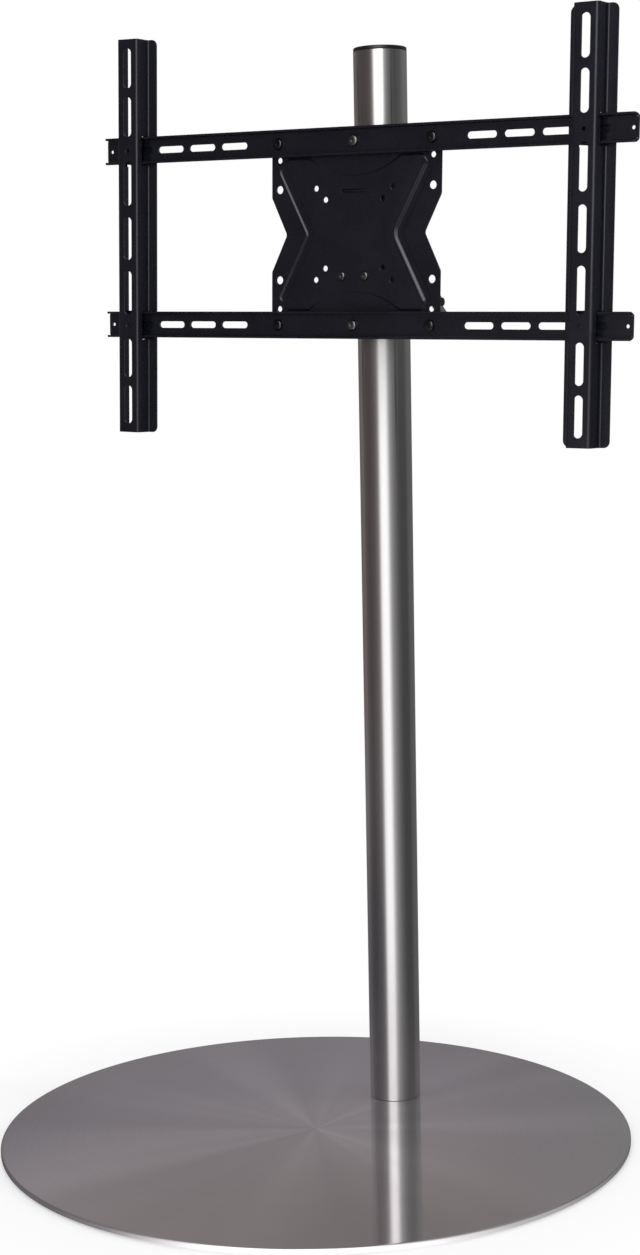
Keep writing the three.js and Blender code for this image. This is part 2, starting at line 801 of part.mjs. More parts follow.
// One hat-section arm, drawn round its own centre line: flanges behind the rails, face in front
function arm(name) {
  const wall_inner = arm_face_half - arm_sheet;
  const outer_bend = arm_bend + arm_sheet;
  const section = roundedOutline([
    [-arm_flange_half, arm_sheet, 0],
    [-arm_flange_half, 0, 0],
    [-arm_face_half, 0, arm_bend],
    [-arm_face_half, -arm_depth, outer_bend],
    [arm_face_half, -arm_depth, outer_bend],
    [arm_face_half, 0, arm_bend],
    [arm_flange_half, 0, 0],
    [arm_flange_half, arm_sheet, 0],
    [wall_inner, arm_sheet, outer_bend],
    [wall_inner, -arm_depth + arm_sheet, arm_bend],
    [-wall_inner, -arm_depth + arm_sheet, arm_bend],
    [-wall_inner, arm_sheet, outer_bend],
  ]);
  const hat = solidOf(prism(section, -arm_half_length, arm_half_length));
  const ends = upright(
    rectangle(arm_flange_half, arm_half_length, arm_end_round),
    -arm_depth - overrun,
    arm_sheet + overrun,
  );
  const slot_front = -arm_depth - overrun;
  const slot_back = -arm_depth + arm_sheet + overrun;
  const cutters = [];
  [1, -1].forEach((up) => {
    arm_slot_heights.forEach((height, i) => {
      if (height === 0 && up < 0) return;
      const slot = slotOutline(arm_slot_width / 2, arm_slot_lengths[i] / 2);
      cutters.push(upright(slot, slot_front, slot_back).translate(0, 0, up * height));
    });
    cutters.push(rodY(0, up * rail_spacing_half, arm_hole_radius, slot_front, slot_back));
    const window_half = rail_height / 2 + arm_window_clear;
    const window_outline = rectangle(arm_face_half + overrun, window_half);
    const window_cut = upright(window_outline, -rail_depth - arm_window_clear, 0);
    cutters.push(window_cut.translate(0, 0, up * rail_spacing_half));
  });
  const strap = upright(
    rectangle(arm_face_half + arm_bend + arm_strap_lap, arm_strap_half_height),
    arm_strap_inset,
    arm_sheet - arm_strap_inset,
  );
  const straps = [1, -1].map((up) => solidOf(strap.clone().translate(0, 0, up * rail_spacing_half)));
  const body = cut(hat.intersect(solidOf(ends)), cutters);
  return mesh(name, body.add(straps[0]).add(straps[1]), black_steel);
}

// The levelled bracket: hook plate, pressed plate, rails, screws, nuts and arms
function bracket() {
  const group = new THREE.Group();
  group.rotation.y = level_turn_deg * degrees;
  group.add(hookPlate(), vesaPlate());

  [1, -1].forEach((side) => {
    const screw = buttonScrew(
      head_screw_radius,
      head_screw_head_radius,
      head_screw_head_height,
      head_screw_length,
      rail_screw_dome_share,
    );
    screw.translate(side * head_screw_side, -panel_raise - gap, -head_screw_drop);
    group.add(mesh(side > 0 ? "head_screw_right" : "head_screw_left", screw, zinc));
  });

  const nut_front = sheet + gap;
  const screw_length = gap + sheet + gap + nut_front + rail_nut_height;
  const up_names = { 1: "top", "-1": "bottom" };
  const side_names = { "-1": "left", 0: "middle", 1: "right" };
  [1, -1].forEach((up) => {
    const height = up * rail_spacing_half;
    const channel = rail(`${up_names[up]}_rail`);
    channel.position.z = height;
    group.add(channel);
    rail_screw_sides.forEach((side) => {
      const place = side * wide_grid_half;
      const screw = buttonScrew(
        rail_screw_radius,
        rail_screw_head_radius,
        rail_screw_head_height,
        screw_length,
        rail_screw_dome_share,
      );
      screw.translate(place, -gap - sheet - gap, height);
      group.add(mesh(`rail_screw_${up_names[up]}_${side_names[side]}`, screw, black_steel));
      const nut = solidOf(upright(hexagon(rail_nut_radius), nut_front, nut_front + rail_nut_height));
      const bore = rodY(0, 0, rail_screw_radius + gap, 0, nut_front + rail_nut_height + overrun);
      const placed = geometryOf(cut(nut, [bore])).translate(place, 0, height);
      group.add(mesh(`rail_nut_${up_names[up]}_${side_names[side]}`, placed, zinc));
    });
  });

  const lock_back = -gap - sheet - gap;
  [
    ["left", left_arm_from_end - rail_half_length, left_arm_skew_deg],
    ["right", rail_half_length - right_arm_from_end, right_arm_skew_deg],
  ].forEach(([side, place, skew_deg]) => {
    const carried = new THREE.Group();
    carried.position.set(place, 0, -arm_hang);
    carried.rotation.y = skew_deg * degrees;
    carried.add(arm(`${side}_arm`));
    const screw = rodY(0, 0, lock_screw_radius, lock_back - lock_screw_length, lock_back, screw_sides);
    const socket = upright(
      hexagon(lock_screw_radius * socket_share),
      lock_back - lock_screw_length - overrun,
      lock_back - lock_screw_length + lock_screw_radius,
    );
    const placed = geometryOf(cut(solidOf(screw), [socket])).translate(0, 0, -rail_spacing_half);
    carried.add(mesh(`${side}_lock_screw`, placed, black_steel));
    group.add(carried);
  });
  return group;
}

const stand = new THREE.Group();
const turned_base = base();
turned_base.rotation.z = -base_turn_deg * degrees;
stand.add(turned_base);

const carriage = new THREE.Group();
carriage.position.set(
  pole_setback * Math.sin(base_turn_deg * degrees),
  pole_setback * Math.cos(base_turn_deg * degrees),
  mount_height,
);
carriage.add(clampHandle(), swivelSleeve());
const head = new THREE.Group();
head.position.y = -mount_reach;
head.add(tiltKnuckle(), bracket());
carriage.add(head);
stand.add(carriage);
stand.updateMatrixWorld(true);

export default stand;
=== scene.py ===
# %% [markdown]
# # A screen stand on a steel disc
# The stand is a round brushed disc, one brushed pole and a black sheet-metal bracket that
# slides, swivels, tilts and levels on it. The CAD frame gives every size and every joint. This
# lesson gives each piece its fine surface: turned steel, bent and punched sheet, screws, and
# the finishes that the hand would feel.

# %% Load the frame
import json
import math

import bmesh
import bpy
from mathutils import Matrix, Vector
from mathutils.geometry import delaunay_2d_cdt


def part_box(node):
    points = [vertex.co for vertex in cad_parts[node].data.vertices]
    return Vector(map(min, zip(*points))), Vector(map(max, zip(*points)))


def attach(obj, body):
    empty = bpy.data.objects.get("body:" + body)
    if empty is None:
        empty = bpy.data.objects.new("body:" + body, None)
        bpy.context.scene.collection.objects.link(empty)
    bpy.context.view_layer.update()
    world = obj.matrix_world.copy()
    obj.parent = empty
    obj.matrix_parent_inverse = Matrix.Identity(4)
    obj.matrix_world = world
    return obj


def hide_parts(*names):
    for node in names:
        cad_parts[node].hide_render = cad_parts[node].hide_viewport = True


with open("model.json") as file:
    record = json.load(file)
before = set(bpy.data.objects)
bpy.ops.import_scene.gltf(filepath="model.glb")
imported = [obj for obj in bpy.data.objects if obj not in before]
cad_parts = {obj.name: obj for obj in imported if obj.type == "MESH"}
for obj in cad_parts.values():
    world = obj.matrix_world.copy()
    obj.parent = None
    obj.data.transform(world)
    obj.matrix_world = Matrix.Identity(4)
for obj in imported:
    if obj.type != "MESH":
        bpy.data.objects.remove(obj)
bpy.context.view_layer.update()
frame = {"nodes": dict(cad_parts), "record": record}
mm = 0.001

# %% [markdown]
# ## The camera
# The view is a three-quarter one from the right, a little above the bracket's height. A long
# lens keeps the pole straight. The camera is set by its place and three angles, because they
# can be measured one by one: how far it went round the stand, how far it looks down, and how
# far it leans. A small shift frames the disc without tipping the camera more. In Blender an
# object is a name and a place for some data, such as a camera, a lamp or a mesh, and it isn't
# there for the render before it is linked into the scene. `in_scene` does both.

# %% Set the camera
def in_scene(name, data):
    made = bpy.data.objects.new(name, data)
    bpy.context.scene.collection.objects.link(made)
    return made


frame_height = 1255
camera_place = Vector((1.3814, -2.0755, 0.8772))
camera_round, camera_down, camera_lean = (math.radians(a) for a in (33.59, 9.385, -1.196))
focal_pixels = 2257.7
look = Vector((
    -math.sin(camera_round) * math.cos(camera_down),
    math.cos(camera_round) * math.cos(camera_down),
    -math.sin(camera_down),
))
right = Vector((math.cos(camera_round), math.sin(camera_round), 0))
over = right.cross(look)
right, over = (
    math.cos(camera_lean) * right + math.sin(camera_lean) * over,
    math.cos(camera_lean) * over - math.sin(camera_lean) * right,
)
camera = in_scene("camera", bpy.data.cameras.new("camera"))
turn = Matrix((right, over, -look)).transposed().to_4x4()
camera.matrix_world = Matrix.Translation(camera_place) @ turn
camera.data.sensor_width = 36
camera.data.lens = focal_pixels * camera.data.sensor_width / frame_height
camera.data.shift_x, camera.data.shift_y = 0.0083, 0.0872
bpy.context.scene.camera = camera
bpy.context.scene.view_settings.view_transform = "Standard"
print("lens", round(camera.data.lens, 2), "mm")

# %% [markdown]
# ## Where things are
# The pole's axis comes from the frame. The bracket hangs in front of it and a little off
# level, so all its pieces are drawn flat and square in their own frame, X to the right, Y to
# the back and Z up, and this one matrix then hangs them in place.

# %% Find the pole and the bracket
tube_low, tube_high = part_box("pole_tube")
pole_x, pole_y = (tube_low.x + tube_high.x) / 2, (tube_low.y + tube_high.y) / 2
pole_turn = Matrix.Translation((pole_x, pole_y, 0))
reach = 60 * mm
bracket_height = 1018.5 * mm
off_level = math.radians(1.7)
bracket_turn = Matrix.Rotation(off_level, 4, "Y")
hang = Matrix.Translation((pole_x, pole_y - reach, bracket_height)) @ bracket_turn
print("pole axis", round(pole_x, 5), round(pole_y, 5))

# %% [markdown]
# ## Drawing outlines
# Sheet is cut to an outline and a turned piece is an outline spun round, so outlines come
# first. Most are polygons whose corners get a radius, as a punch or a lathe tool leaves them.
# `rounded` takes each corner as x, y and radius, and `four_fold` repeats one quarter of an
# outline that is alike left and right, up and down.

# %% Outline helpers
def rounded(corners, steps=6):
    points = []
    for i, (x, y, radius) in enumerate(corners):
        here = Vector((x, y))
        back = (Vector(corners[i - 1][:2]) - here).normalized()
        ahead = (Vector(corners[(i + 1) % len(corners)][:2]) - here).normalized()
        if not radius:
            points.append(here)
            continue
        half = math.acos(max(-1, min(1, back.dot(ahead)))) / 2
        start = here + back * radius / math.tan(half)
        end = here + ahead * radius / math.tan(half)
        centre = here + (back + ahead).normalized() * radius / math.sin(half)
        a, b = start - centre, end - centre
        sweep = math.atan2(a.x * b.y - a.y * b.x, a.dot(b))
        for k in range(steps + 1):
            c, s = math.cos(sweep * k / steps), math.sin(sweep * k / steps)
            points.append(centre + Vector((a.x * c - a.y * s, a.x * s + a.y * c)))
    return points


def four_fold(quarter):
    flipped = quarter[::-1]
    row = [
        (x * side, y * up, radius)
        for side, up, part in ((1, 1, quarter), (-1, 1, flipped), (-1, -1, quarter), (1, -1, flipped))
        for x, y, radius in part
    ]
    return [p for i, p in enumerate(row) if (Vector(p[:2]) - Vector(row[i - 1][:2])).length > 1e-6]


def box_outline(half_x, half_y, radius, steps=6):
    return rounded(four_fold([(half_x, half_y, radius)]), steps)


def circle(x, y, radius, steps=32):
    turns = [2 * math.pi * k / steps for k in range(steps)]
    return [Vector((x + radius * math.cos(a), y + radius * math.sin(a))) for a in turns]


def moved(loop, x, y):
    return [p + Vector((x, y)) for p in loop]


print("a box of 36 by 7.5 mm has", len(box_outline(18, 3.75, 3.7, 8)), "points")

# %% [markdown]
# ## From mesh to piece
# Every mesh is drawn in its own handy frame and then moved to its place once, in the mesh
# itself, so that its object stays at the origin. Shading is smooth over bends and crisp over
# edges that turn more than about thirty-five degrees. `settle` says which body of the stand
# carries the piece and which plain CAD nodes it stands for.

# %% Mesh helpers
def finish_mesh(name, mesh, matrix, material, sharp=35):
    mesh.transform(matrix)
    mesh.polygons.foreach_set("use_smooth", [True] * len(mesh.polygons))
    mesh.set_sharp_from_angle(angle=math.radians(sharp))
    mesh.materials.clear()
    mesh.materials.append(material)
    return in_scene(name, mesh)


def settle(piece, body, slot, *nodes):
    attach(piece, body)
    if nodes:
        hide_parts(*nodes)
    print(piece.name, len(piece.data.polygons), "faces")


# %% [markdown]
# ## Building finishes
# A finish is a small tree of shader nodes. `add` puts one node in it and `fill` fills its
# sockets, with values or with links, so a finish can be read as a short list: a name is that of
# a socket, and i0, i1 and i2 are the first three. Patterns read Object coordinates in metres, so
# a scale of a thousand is a grain of about a millimetre.

# %% Node helpers
def empty_tree(owner):
    owner.use_nodes = True
    owner.node_tree.nodes.clear()
    return owner.node_tree


def fill(made, **sockets):
    for key, value in sockets.items():
        place = int(key[1:]) if key[0] == "i" and key[1:].isdigit() else key.replace("_", " ")
        if isinstance(value, bpy.types.NodeSocket):
            made.id_data.links.new(value, made.inputs[place])
        else:
            made.inputs[place].default_value = value
    return made


def add(tree, kind, operation=None, **sockets):
    made = tree.nodes.new(kind)
    if operation:
        made.operation = operation
    return fill(made, **sockets)


def maths(tree, operation, *values):
    sockets = {f"i{n}": value for n, value in enumerate(values)}
    return add(tree, "ShaderNodeMath", operation, **sockets).outputs[0]


def spread(tree, value, low, high, from_low=0.3, from_high=0.7):
    sockets = {"From_Min": from_low, "From_Max": from_high, "To_Min": low, "To_Max": high}
    return add(tree, "ShaderNodeMapRange", Value=value, **sockets).outputs["Result"]


# %% [markdown]
# Every finish of the stand is one principled shader. Its colour runs between two tones, and a
# bump node turns the height of a pattern into dents so fine that no mesh need show them.

# %% Finish helpers
def new_finish(name):
    material = bpy.data.materials.new(name)
    tree = empty_tree(material)
    shader = add(tree, "ShaderNodeBsdfPrincipled")
    add(tree, "ShaderNodeOutputMaterial", i0=shader.outputs[0])
    return material, tree, shader


def two_tone(tree, factor, dark, light):
    made = tree.nodes.new("ShaderNodeMix")
    made.data_type = "RGBA"
    return fill(made, Factor=factor, A=dark, B=light).outputs["Result"]


def dent(tree, height, strength, distance):
    bump = add(tree, "ShaderNodeBump", Height=height, Strength=strength, Distance=distance)
    return bump.outputs["Normal"]


# %% [markdown]
# ## Brushed stainless steel
# The disc was brushed round and round about its centre, and the pole along its length. Both
# grains are the same noise, stretched in different ways: on the disc it changes fast with the
# distance from the centre and slowly with the angle, on the pole it changes fast round the tube
# and slowly up it. A finer noise makes the brush lines. A coarser one paints broad bands into the
# colour: on the disc they are the soft wedges that run out from its centre, a painted sheen of
# the light that a round grain gathers, and on the pole slow changes of tone. `line_share` says
# how much each of them counts. Anisotropy then spreads the reflections across the grain.

# %% Brushed steel of the disc
def polar(tree, centre_x, centre_y):
    place = add(tree, "ShaderNodeTexCoord").outputs["Object"]
    shift = add(tree, "ShaderNodeMapping", Vector=place, Location=(-centre_x, -centre_y, 0))
    parts = add(tree, "ShaderNodeSeparateXYZ", Vector=shift.outputs[0]).outputs
    flat = add(tree, "ShaderNodeCombineXYZ", X=parts["X"], Y=parts["Y"]).outputs[0]
    unit = add(tree, "ShaderNodeVectorMath", "NORMALIZE", i0=flat).outputs[0]
    length = add(tree, "ShaderNodeVectorMath", "LENGTH", i0=flat).outputs["Value"]
    return unit, length, parts["Z"]


def grain(tree, unit, along, round_scale, along_scale, detail=4):
    ring = add(tree, "ShaderNodeVectorMath", "SCALE", i0=unit, Scale=round_scale)
    parts = add(tree, "ShaderNodeSeparateXYZ", Vector=ring.outputs[0]).outputs
    fast = maths(tree, "MULTIPLY", along, along_scale)
    place = add(tree, "ShaderNodeCombineXYZ", X=parts["X"], Y=parts["Y"], Z=fast).outputs[0]
    noise = add(tree, "ShaderNodeTexNoise", Vector=place, Scale=1, Detail=detail, Roughness=0.62)
    return noise.outputs[0]


def steel(
    name, centre, turned_about, fine, sheen_and_tone_scales, line_share, tones, roughness, anisotropy, metal, relief,
):
    material, tree, shader = new_finish(name)
    unit, radius, height = polar(tree, *centre)
    along = radius if turned_about else height
    lines = grain(tree, unit, along, *fine)
    # The coarse noise paints broad colour bands: on the disc the wedges, a painted sheen; on the pole,
    # tone.
    sheen_and_tone_bands = grain(tree, unit, along, *sheen_and_tone_scales, detail=2)
    rest = maths(tree, "MULTIPLY", sheen_and_tone_bands, 1 - line_share)
    mixed = maths(tree, "MULTIPLY_ADD", lines, line_share, rest)
    tangent = tree.nodes.new("ShaderNodeTangent")
    tangent.direction_type = "UV_MAP"
    tangent.uv_map = "around"
    fill(
        shader, Base_Color=two_tone(tree, spread(tree, mixed, 0, 1), *tones), Metallic=metal,
        Roughness=spread(tree, lines, *roughness), Normal=dent(tree, lines, relief, 0.0001),
        Anisotropic=anisotropy, Anisotropic_Rotation=0.25, Tangent=tangent.outputs[0],
    )
    return material


# The disc's tones run wide so that its painted sheen wedges show in the colour.
disc_steel = steel(
    "disc_steel", centre=(0, 0), turned_about=True, fine=(3.0, 900.0), sheen_and_tone_scales=(1.4, 0.4),
    line_share=0.2, tones=((0.63, 0.60, 0.62, 1), (0.89, 0.86, 0.88, 1)), roughness=(0.06, 0.10),
    anisotropy=0.7, metal=0.9, relief=0.05,
)
print(disc_steel.name, len(disc_steel.node_tree.nodes), "nodes")

# %% [markdown]
# The pole was ground with a coarser belt than the disc, so it is rougher and its lines are
# deeper, and it mirrors the room as soft bands.

# %% Brushed steel of the pole
pole_steel = steel(
    "pole_steel", centre=(pole_x, pole_y), turned_about=False, fine=(60.0, 2.5), sheen_and_tone_scales=(7.0, 0.8),
    line_share=0.45, tones=((0.56, 0.55, 0.55, 1), (0.64, 0.63, 0.63, 1)), roughness=(0.20, 0.26),
    anisotropy=0.85, metal=1, relief=0.12,
)
print(pole_steel.name, len(pole_steel.node_tree.nodes), "nodes")

# %% [markdown]
# ## Black powder coat
# Powder coat is sprayed on dry and baked, so it is a slightly orange-peeled, satin black skin.
# A fine noise gives the peel, a broad one changes the gloss a little from place to place, as
# handling does. The plastic of the cap, the nylon of the bushes and the rubber of the pads are
# moulded skins of the same build, with other tones and another peel.

# %% Powder coat and the moulded skins
def noise_on(tree, place, scale, detail, roughness=0.5):
    made = add(tree, "ShaderNodeTexNoise", Vector=place, Scale=scale, Detail=detail, Roughness=roughness)
    return made.outputs[0]


def coat(name, dark, light, roughness, peel_scale, peel_strength, specular=0.5):
    material, tree, shader = new_finish(name)
    place = add(tree, "ShaderNodeTexCoord").outputs["Object"]
    peel = noise_on(tree, place, peel_scale, 3)
    cloud = noise_on(tree, place, 22, 4, 0.6)
    fill(
        shader, Base_Color=two_tone(tree, spread(tree, cloud, 0, 1), (*dark, 1), (*light, 1)),
        Roughness=spread(tree, cloud, *roughness), Specular_IOR_Level=specular,
        Normal=dent(tree, peel, peel_strength, 0.0002),
    )
    return material


black_coat = coat(
    "black_coat", dark=(0.005, 0.0054, 0.0098), light=(0.0072, 0.0078, 0.0134), roughness=(0.24, 0.30),
    peel_scale=1400, peel_strength=0.12,
)
black_plastic = coat(
    "black_plastic", dark=(0.008, 0.008, 0.009), light=(0.012, 0.012, 0.013), roughness=(0.3, 0.4),
    peel_scale=2600, peel_strength=0.08,
)
nylon = coat(
    "nylon", dark=(0.70, 0.68, 0.62), light=(0.78, 0.76, 0.70), roughness=(0.45, 0.6),
    peel_scale=900, peel_strength=0.1,
)
pad_rubber = coat(
    "pad_rubber", dark=(0.018, 0.018, 0.018), light=(0.03, 0.03, 0.03), roughness=(0.75, 0.9),
    peel_scale=1800, peel_strength=0.3, specular=0.3,
)
print("skins:", black_coat.name, black_plastic.name, nylon.name, pad_rubber.name)

# %% [markdown]
# ## Zinc plating
# The screws, nuts and the wing are zinc plated. Plating is bright but never even: it clouds,
# and it takes a faint blue and straw tint. The head screws wear a darker zinc, painted shade that
# keeps each head dark so that only its glints show. The outer rail screws were blackened, and
# the two in the middle have a lighter plating.

# %% Zinc plating
def plating(name, tint_a, tint_b, roughness):
    material, tree, shader = new_finish(name)
    place = add(tree, "ShaderNodeTexCoord").outputs["Object"]
    cloud = noise_on(tree, place, 180, 5, 0.6)
    speck = noise_on(tree, place, 2600, 2)
    fill(
        shader, Base_Color=two_tone(tree, spread(tree, cloud, 0, 1), (*tint_a, 1), (*tint_b, 1)),
        Roughness=spread(tree, cloud, *roughness), Metallic=1, Normal=dent(tree, speck, 0.15, 0.0001),
    )
    return material


zinc = plating("zinc", (0.46, 0.47, 0.50), (0.60, 0.59, 0.55), (0.22, 0.38))
# The head screws' zinc is darkened as painted shade, so that only glints show on it.
dull_zinc = plating("dull_zinc", (0.13, 0.135, 0.145), (0.24, 0.24, 0.235), (0.13, 0.22))
dark_screw = plating("dark_screw", (0.045, 0.046, 0.05), (0.085, 0.085, 0.09), (0.11, 0.17))
worn_screw = plating("worn_screw", (0.10, 0.10, 0.105), (0.30, 0.30, 0.30), (0.16, 0.28))
print("platings:", zinc.name, dull_zinc.name, dark_screw.name, worn_screw.name)

# %% [markdown]
# The frame gives every piece a slot, the name of its finish. This is the finish that each slot
# means here. A few pieces wear a variant of it: the pole its own steel, the screws other platings.

# %% Match slots and finishes
finish_of = {
    "stainless": disc_steel, "black_coat": black_coat, "zinc": zinc, "black_plastic": black_plastic,
    "nylon": nylon, "pad_rubber": pad_rubber,
}
slot_of = {s["node"]: s["material_slot"] for s in frame["record"]["subparts"]}
print(len(slot_of), "nodes in", len(finish_of), "slots")

# %% [markdown]
# ## Turned pieces
# The disc, the tube and the cap are round, so each is one outline spun about an axis. The spin
# is written out here to leave no seam: the last column of faces joins the first. Where the
# outline touches the axis, it ends in a fan about a single vertex. Each face also gets its place
# round the axis in a UV map, for the brushing.

# %% Spin an outline
def turned(name, outline, matrix, material, steps=160, sharp=35):
    mesh = bmesh.new()
    around = mesh.loops.layers.uv.new("around")
    columns = []
    axis = {i: mesh.verts.new((0, 0, p[1])) for i, p in enumerate(outline) if p[0] < 1e-6}
    for k in range(steps):
        c, s = math.cos(2 * math.pi * k / steps), math.sin(2 * math.pi * k / steps)
        columns.append([
            axis[i] if i in axis else mesh.verts.new((p[0] * c, p[0] * s, p[1]))
            for i, p in enumerate(outline)
        ])
    for k in range(steps):
        a, b = columns[k], columns[(k + 1) % steps]
        for i in range(len(outline)):
            j = (i + 1) % len(outline)
            corners = [(a[i], k, i), (b[i], k + 1, i), (b[j], k + 1, j), (a[j], k, j)]
            kept = [c for n, c in enumerate(corners) if c[0] is not corners[n - 1][0]]
            if len(kept) < 3:
                continue
            face = mesh.faces.new([c[0] for c in kept])
            for loop, corner in zip(face.loops, kept):
                loop[around].uv = (corner[1] / steps, corner[2] / len(outline))
    data = bpy.data.meshes.new(name)
    mesh.to_mesh(data)
    mesh.free()
    return finish_mesh(name, data, matrix @ Matrix.Scale(mm, 4), material, sharp)


# %% [markdown]
# ## The disc
# A disc this heavy is cut from plate, its edge is eased all round, and the brushing goes over
# the edge. It is one outline: flat below, a small round, the straight rim, a small round, and
# flat on top. The flat top gets a few more rings, the first of them close to the rim, so that
# the rounding of the edge doesn't bend the mirror image on the flat.

# %% Turn the disc
disc_radius, disc_low, disc_top, disc_ease = 359.8, 1.5, 8.0, 1.6
disc_outline = rounded([
    (0, disc_low, 0), (disc_radius, disc_low, disc_ease),
    (disc_radius, disc_top, disc_ease), (0, disc_top, 0),
], 5)
disc_rings = [Vector((radius, disc_top)) for radius in (357, 300, 200, 100, 30)]
disc_rows = disc_outline[:-1] + disc_rings + disc_outline[-1:]
disc = turned("floor_disc", disc_rows, Matrix.Identity(4), disc_steel, 256)
settle(disc, "stand", "stainless", "base_disc")

# %% [markdown]
# ## The pole and its cap
# The pole is a plain tube with cleanly cut ends. A row of points one millimetre from each end
# keeps the rounding there, so that the long wall between them is shaded as truly straight.

# %% Turn the pole
pole_radius, pole_wall, pole_low, pole_top = 30, 2, 8.3, 1219
bore_radius = pole_radius - pole_wall
tube_outline = rounded([
    (pole_radius, pole_low, 0.3), (pole_radius, pole_low + 1, 0), (pole_radius, pole_top - 1, 0),
    (pole_radius, pole_top, 0.4), (bore_radius, pole_top, 0.4), (bore_radius, pole_top - 1, 0),
    (bore_radius, pole_low + 1, 0), (bore_radius, pole_low, 0.3),
], 3)
tube = turned("pole", tube_outline, pole_turn, pole_steel, 192)
settle(tube, "stand", "stainless", "pole_tube")

# %% [markdown]
# The cap is a push-in plug: a low crown with an eased edge and a shallow ring pressed into its
# top. Its skirt goes eighteen millimetres down into the tube, and its crown covers the cut.

# %% Turn the cap
cap_low, cap_top = pole_top + 0.3, pole_top + 4.3
cap_outline = rounded([
    (0, cap_low, 0), (24.7, cap_low, 0), (24.7, cap_low - 18, 0.5), (27.7, cap_low - 18, 0.8),
    (27.7, cap_low, 0), (29.9, cap_low, 0.5), (29.9, cap_top, 1.3), (25.4, cap_top, 0.3),
    (24.8, cap_top - 0.6, 0.3), (24.2, cap_top, 0.3), (0, cap_top, 0),
], 4)
cap = turned("cap", cap_outline, pole_turn, black_plastic, 128)
settle(cap, "stand", "black_plastic", "pole_cap")

# %% [markdown]
# ## Bent and punched sheet
# The plate, the rails and the arms were all made flat and then formed: a blank is punched from
# sheet, with its slots and holes, and bent or pressed. The mesh is made in the same order.
# First come four questions about a closed outline: its area, which is negative when it runs
# the wrong way round, the outline a given distance outside it, whether it holds a point, and
# how far it reaches.

# %% Measure outlines
def area(loop):
    return sum(a.x * b.y - b.x * a.y for a, b in zip(loop, loop[1:] + loop[:1])) / 2


def grown(loop, distance):
    points = []
    for i, here in enumerate(loop):
        first = (here - loop[i - 1]).normalized()
        second = (loop[(i + 1) % len(loop)] - here).normalized()
        a, b = Vector((first.y, -first.x)), Vector((second.y, -second.x))
        points.append(here + (a + b) * distance / (1 + a.dot(b)))
    return points


def holds(loop, box, x, y):
    if not (box[0] < x < box[1] and box[2] < y < box[3]):
        return False
    inside = False
    for a, b in zip(loop, loop[1:] + loop[:1]):
        if (a.y > y) != (b.y > y) and x < (b.x - a.x) * (y - a.y) / (b.y - a.y) + a.x:
            inside = not inside
    return inside


def extent(loop):
    return min(p.x for p in loop), max(p.x for p in loop), min(p.y for p in loop), max(p.y for p in loop)


print("a 10 mm square has", round(area(box_outline(5, 5, 0)), 1), "square mm")

# %% [markdown]
# The flat blank is divided into triangles that follow its outline, its holes, the lines where
# it will bend and the rings where it will be pressed. The triangles that fall in a hole are
# thrown away, as the punch does. A second line close inside every edge is there to ease it.

# %% Punch a blank
def blank(outline, holes, lines, rings, ease):
    loops = [l if area(l) > 0 else l[::-1] for l in [outline, *holes]]
    eased = [grown(loops[0], -ease)] + [grown(l, ease) for l in loops[1:]]
    points, edges = [], []
    for loop in [*loops, *eased, *rings]:
        first = len(points)
        points += loop
        edges += [(first + k, first + (k + 1) % len(loop)) for k in range(len(loop))]
    for a, b in lines:
        edges.append((len(points), len(points) + 1))
        points += [Vector(a), Vector(b)]
    flat, _, faces, _, _, _ = delaunay_2d_cdt(points, edges, [], 0, 1e-5)
    boxes = [extent(l) for l in loops]
    kept = []
    for face in faces:
        x, y = (sum(flat[i][n] for i in face) / 3 for n in (0, 1))
        if holds(loops[0], boxes[0], x, y) and not any(
            holds(l, b, x, y) for l, b in zip(loops[1:], boxes[1:])
        ):
            kept.append(face)
    return flat, kept


# %% [markdown]
# Then each point moves to its place on the formed sheet, which `place` gives together with the
# direction that the sheet faces there, and gets a front and a back, half the sheet's thickness
# either way. The border of every edge and hole sits a little lower, as tumbling and paint
# leave it, and a wall closes the sheet all round.

# %% Form a sheet
def mesh_of(name, points, faces):
    data = bpy.data.meshes.new(name)
    data.from_pydata(points, [], faces)
    return data


def formed(name, outline, holes, lines, place, thickness, matrix, material, rings=(), ease=0.35):
    flat, faces = blank(outline, holes, lines, rings, ease)
    sides = {}
    for a, b, c in faces:
        for edge in ((a, b), (b, c), (c, a)):
            sides[edge] = sides.get(edge, 0) + 1
    rim = [e for e in sides if (e[1], e[0]) not in sides]
    on_rim = {v for e in rim for v in e}
    used = sorted({v for f in faces for v in f})
    order = {v: n for n, v in enumerate(used)}
    front, back = [], []
    for v in used:
        point, normal = place(flat[v].x, flat[v].y)
        half = thickness / 2 - (ease if v in on_rim else 0)
        front.append(point + normal * half)
        back.append(point - normal * half)
    count = len(used)
    shell = [tuple(order[v] for v in f) for f in faces]
    under = [tuple(order[v] + count for v in reversed(f)) for f in faces]
    walls = [(order[b], order[a], order[a] + count, order[b] + count) for a, b in rim]
    data = mesh_of(name, front + back, shell + under + walls)
    return finish_mesh(name, data, matrix @ Matrix.Scale(mm, 4), material)


# %% [markdown]
# ## The rails
# Each rail is a shallow channel with its lips to the front. In the flat it is a strip with
# long slots, screw holes and a small hole near each end, and it bends along two lines.
# `rail_place` turns a place on the strip into one on the channel. Lines are drawn across the
# strip too, between the slots: a bend whose faces ran its whole length would be shaded unevenly.

# %% Bend a rail
sheet = 2.5
rail_web, rail_bend, rail_front, lip_straight = 10.5, 3.25, 1.55, 5.4
rail_arc = rail_bend * math.pi / 2


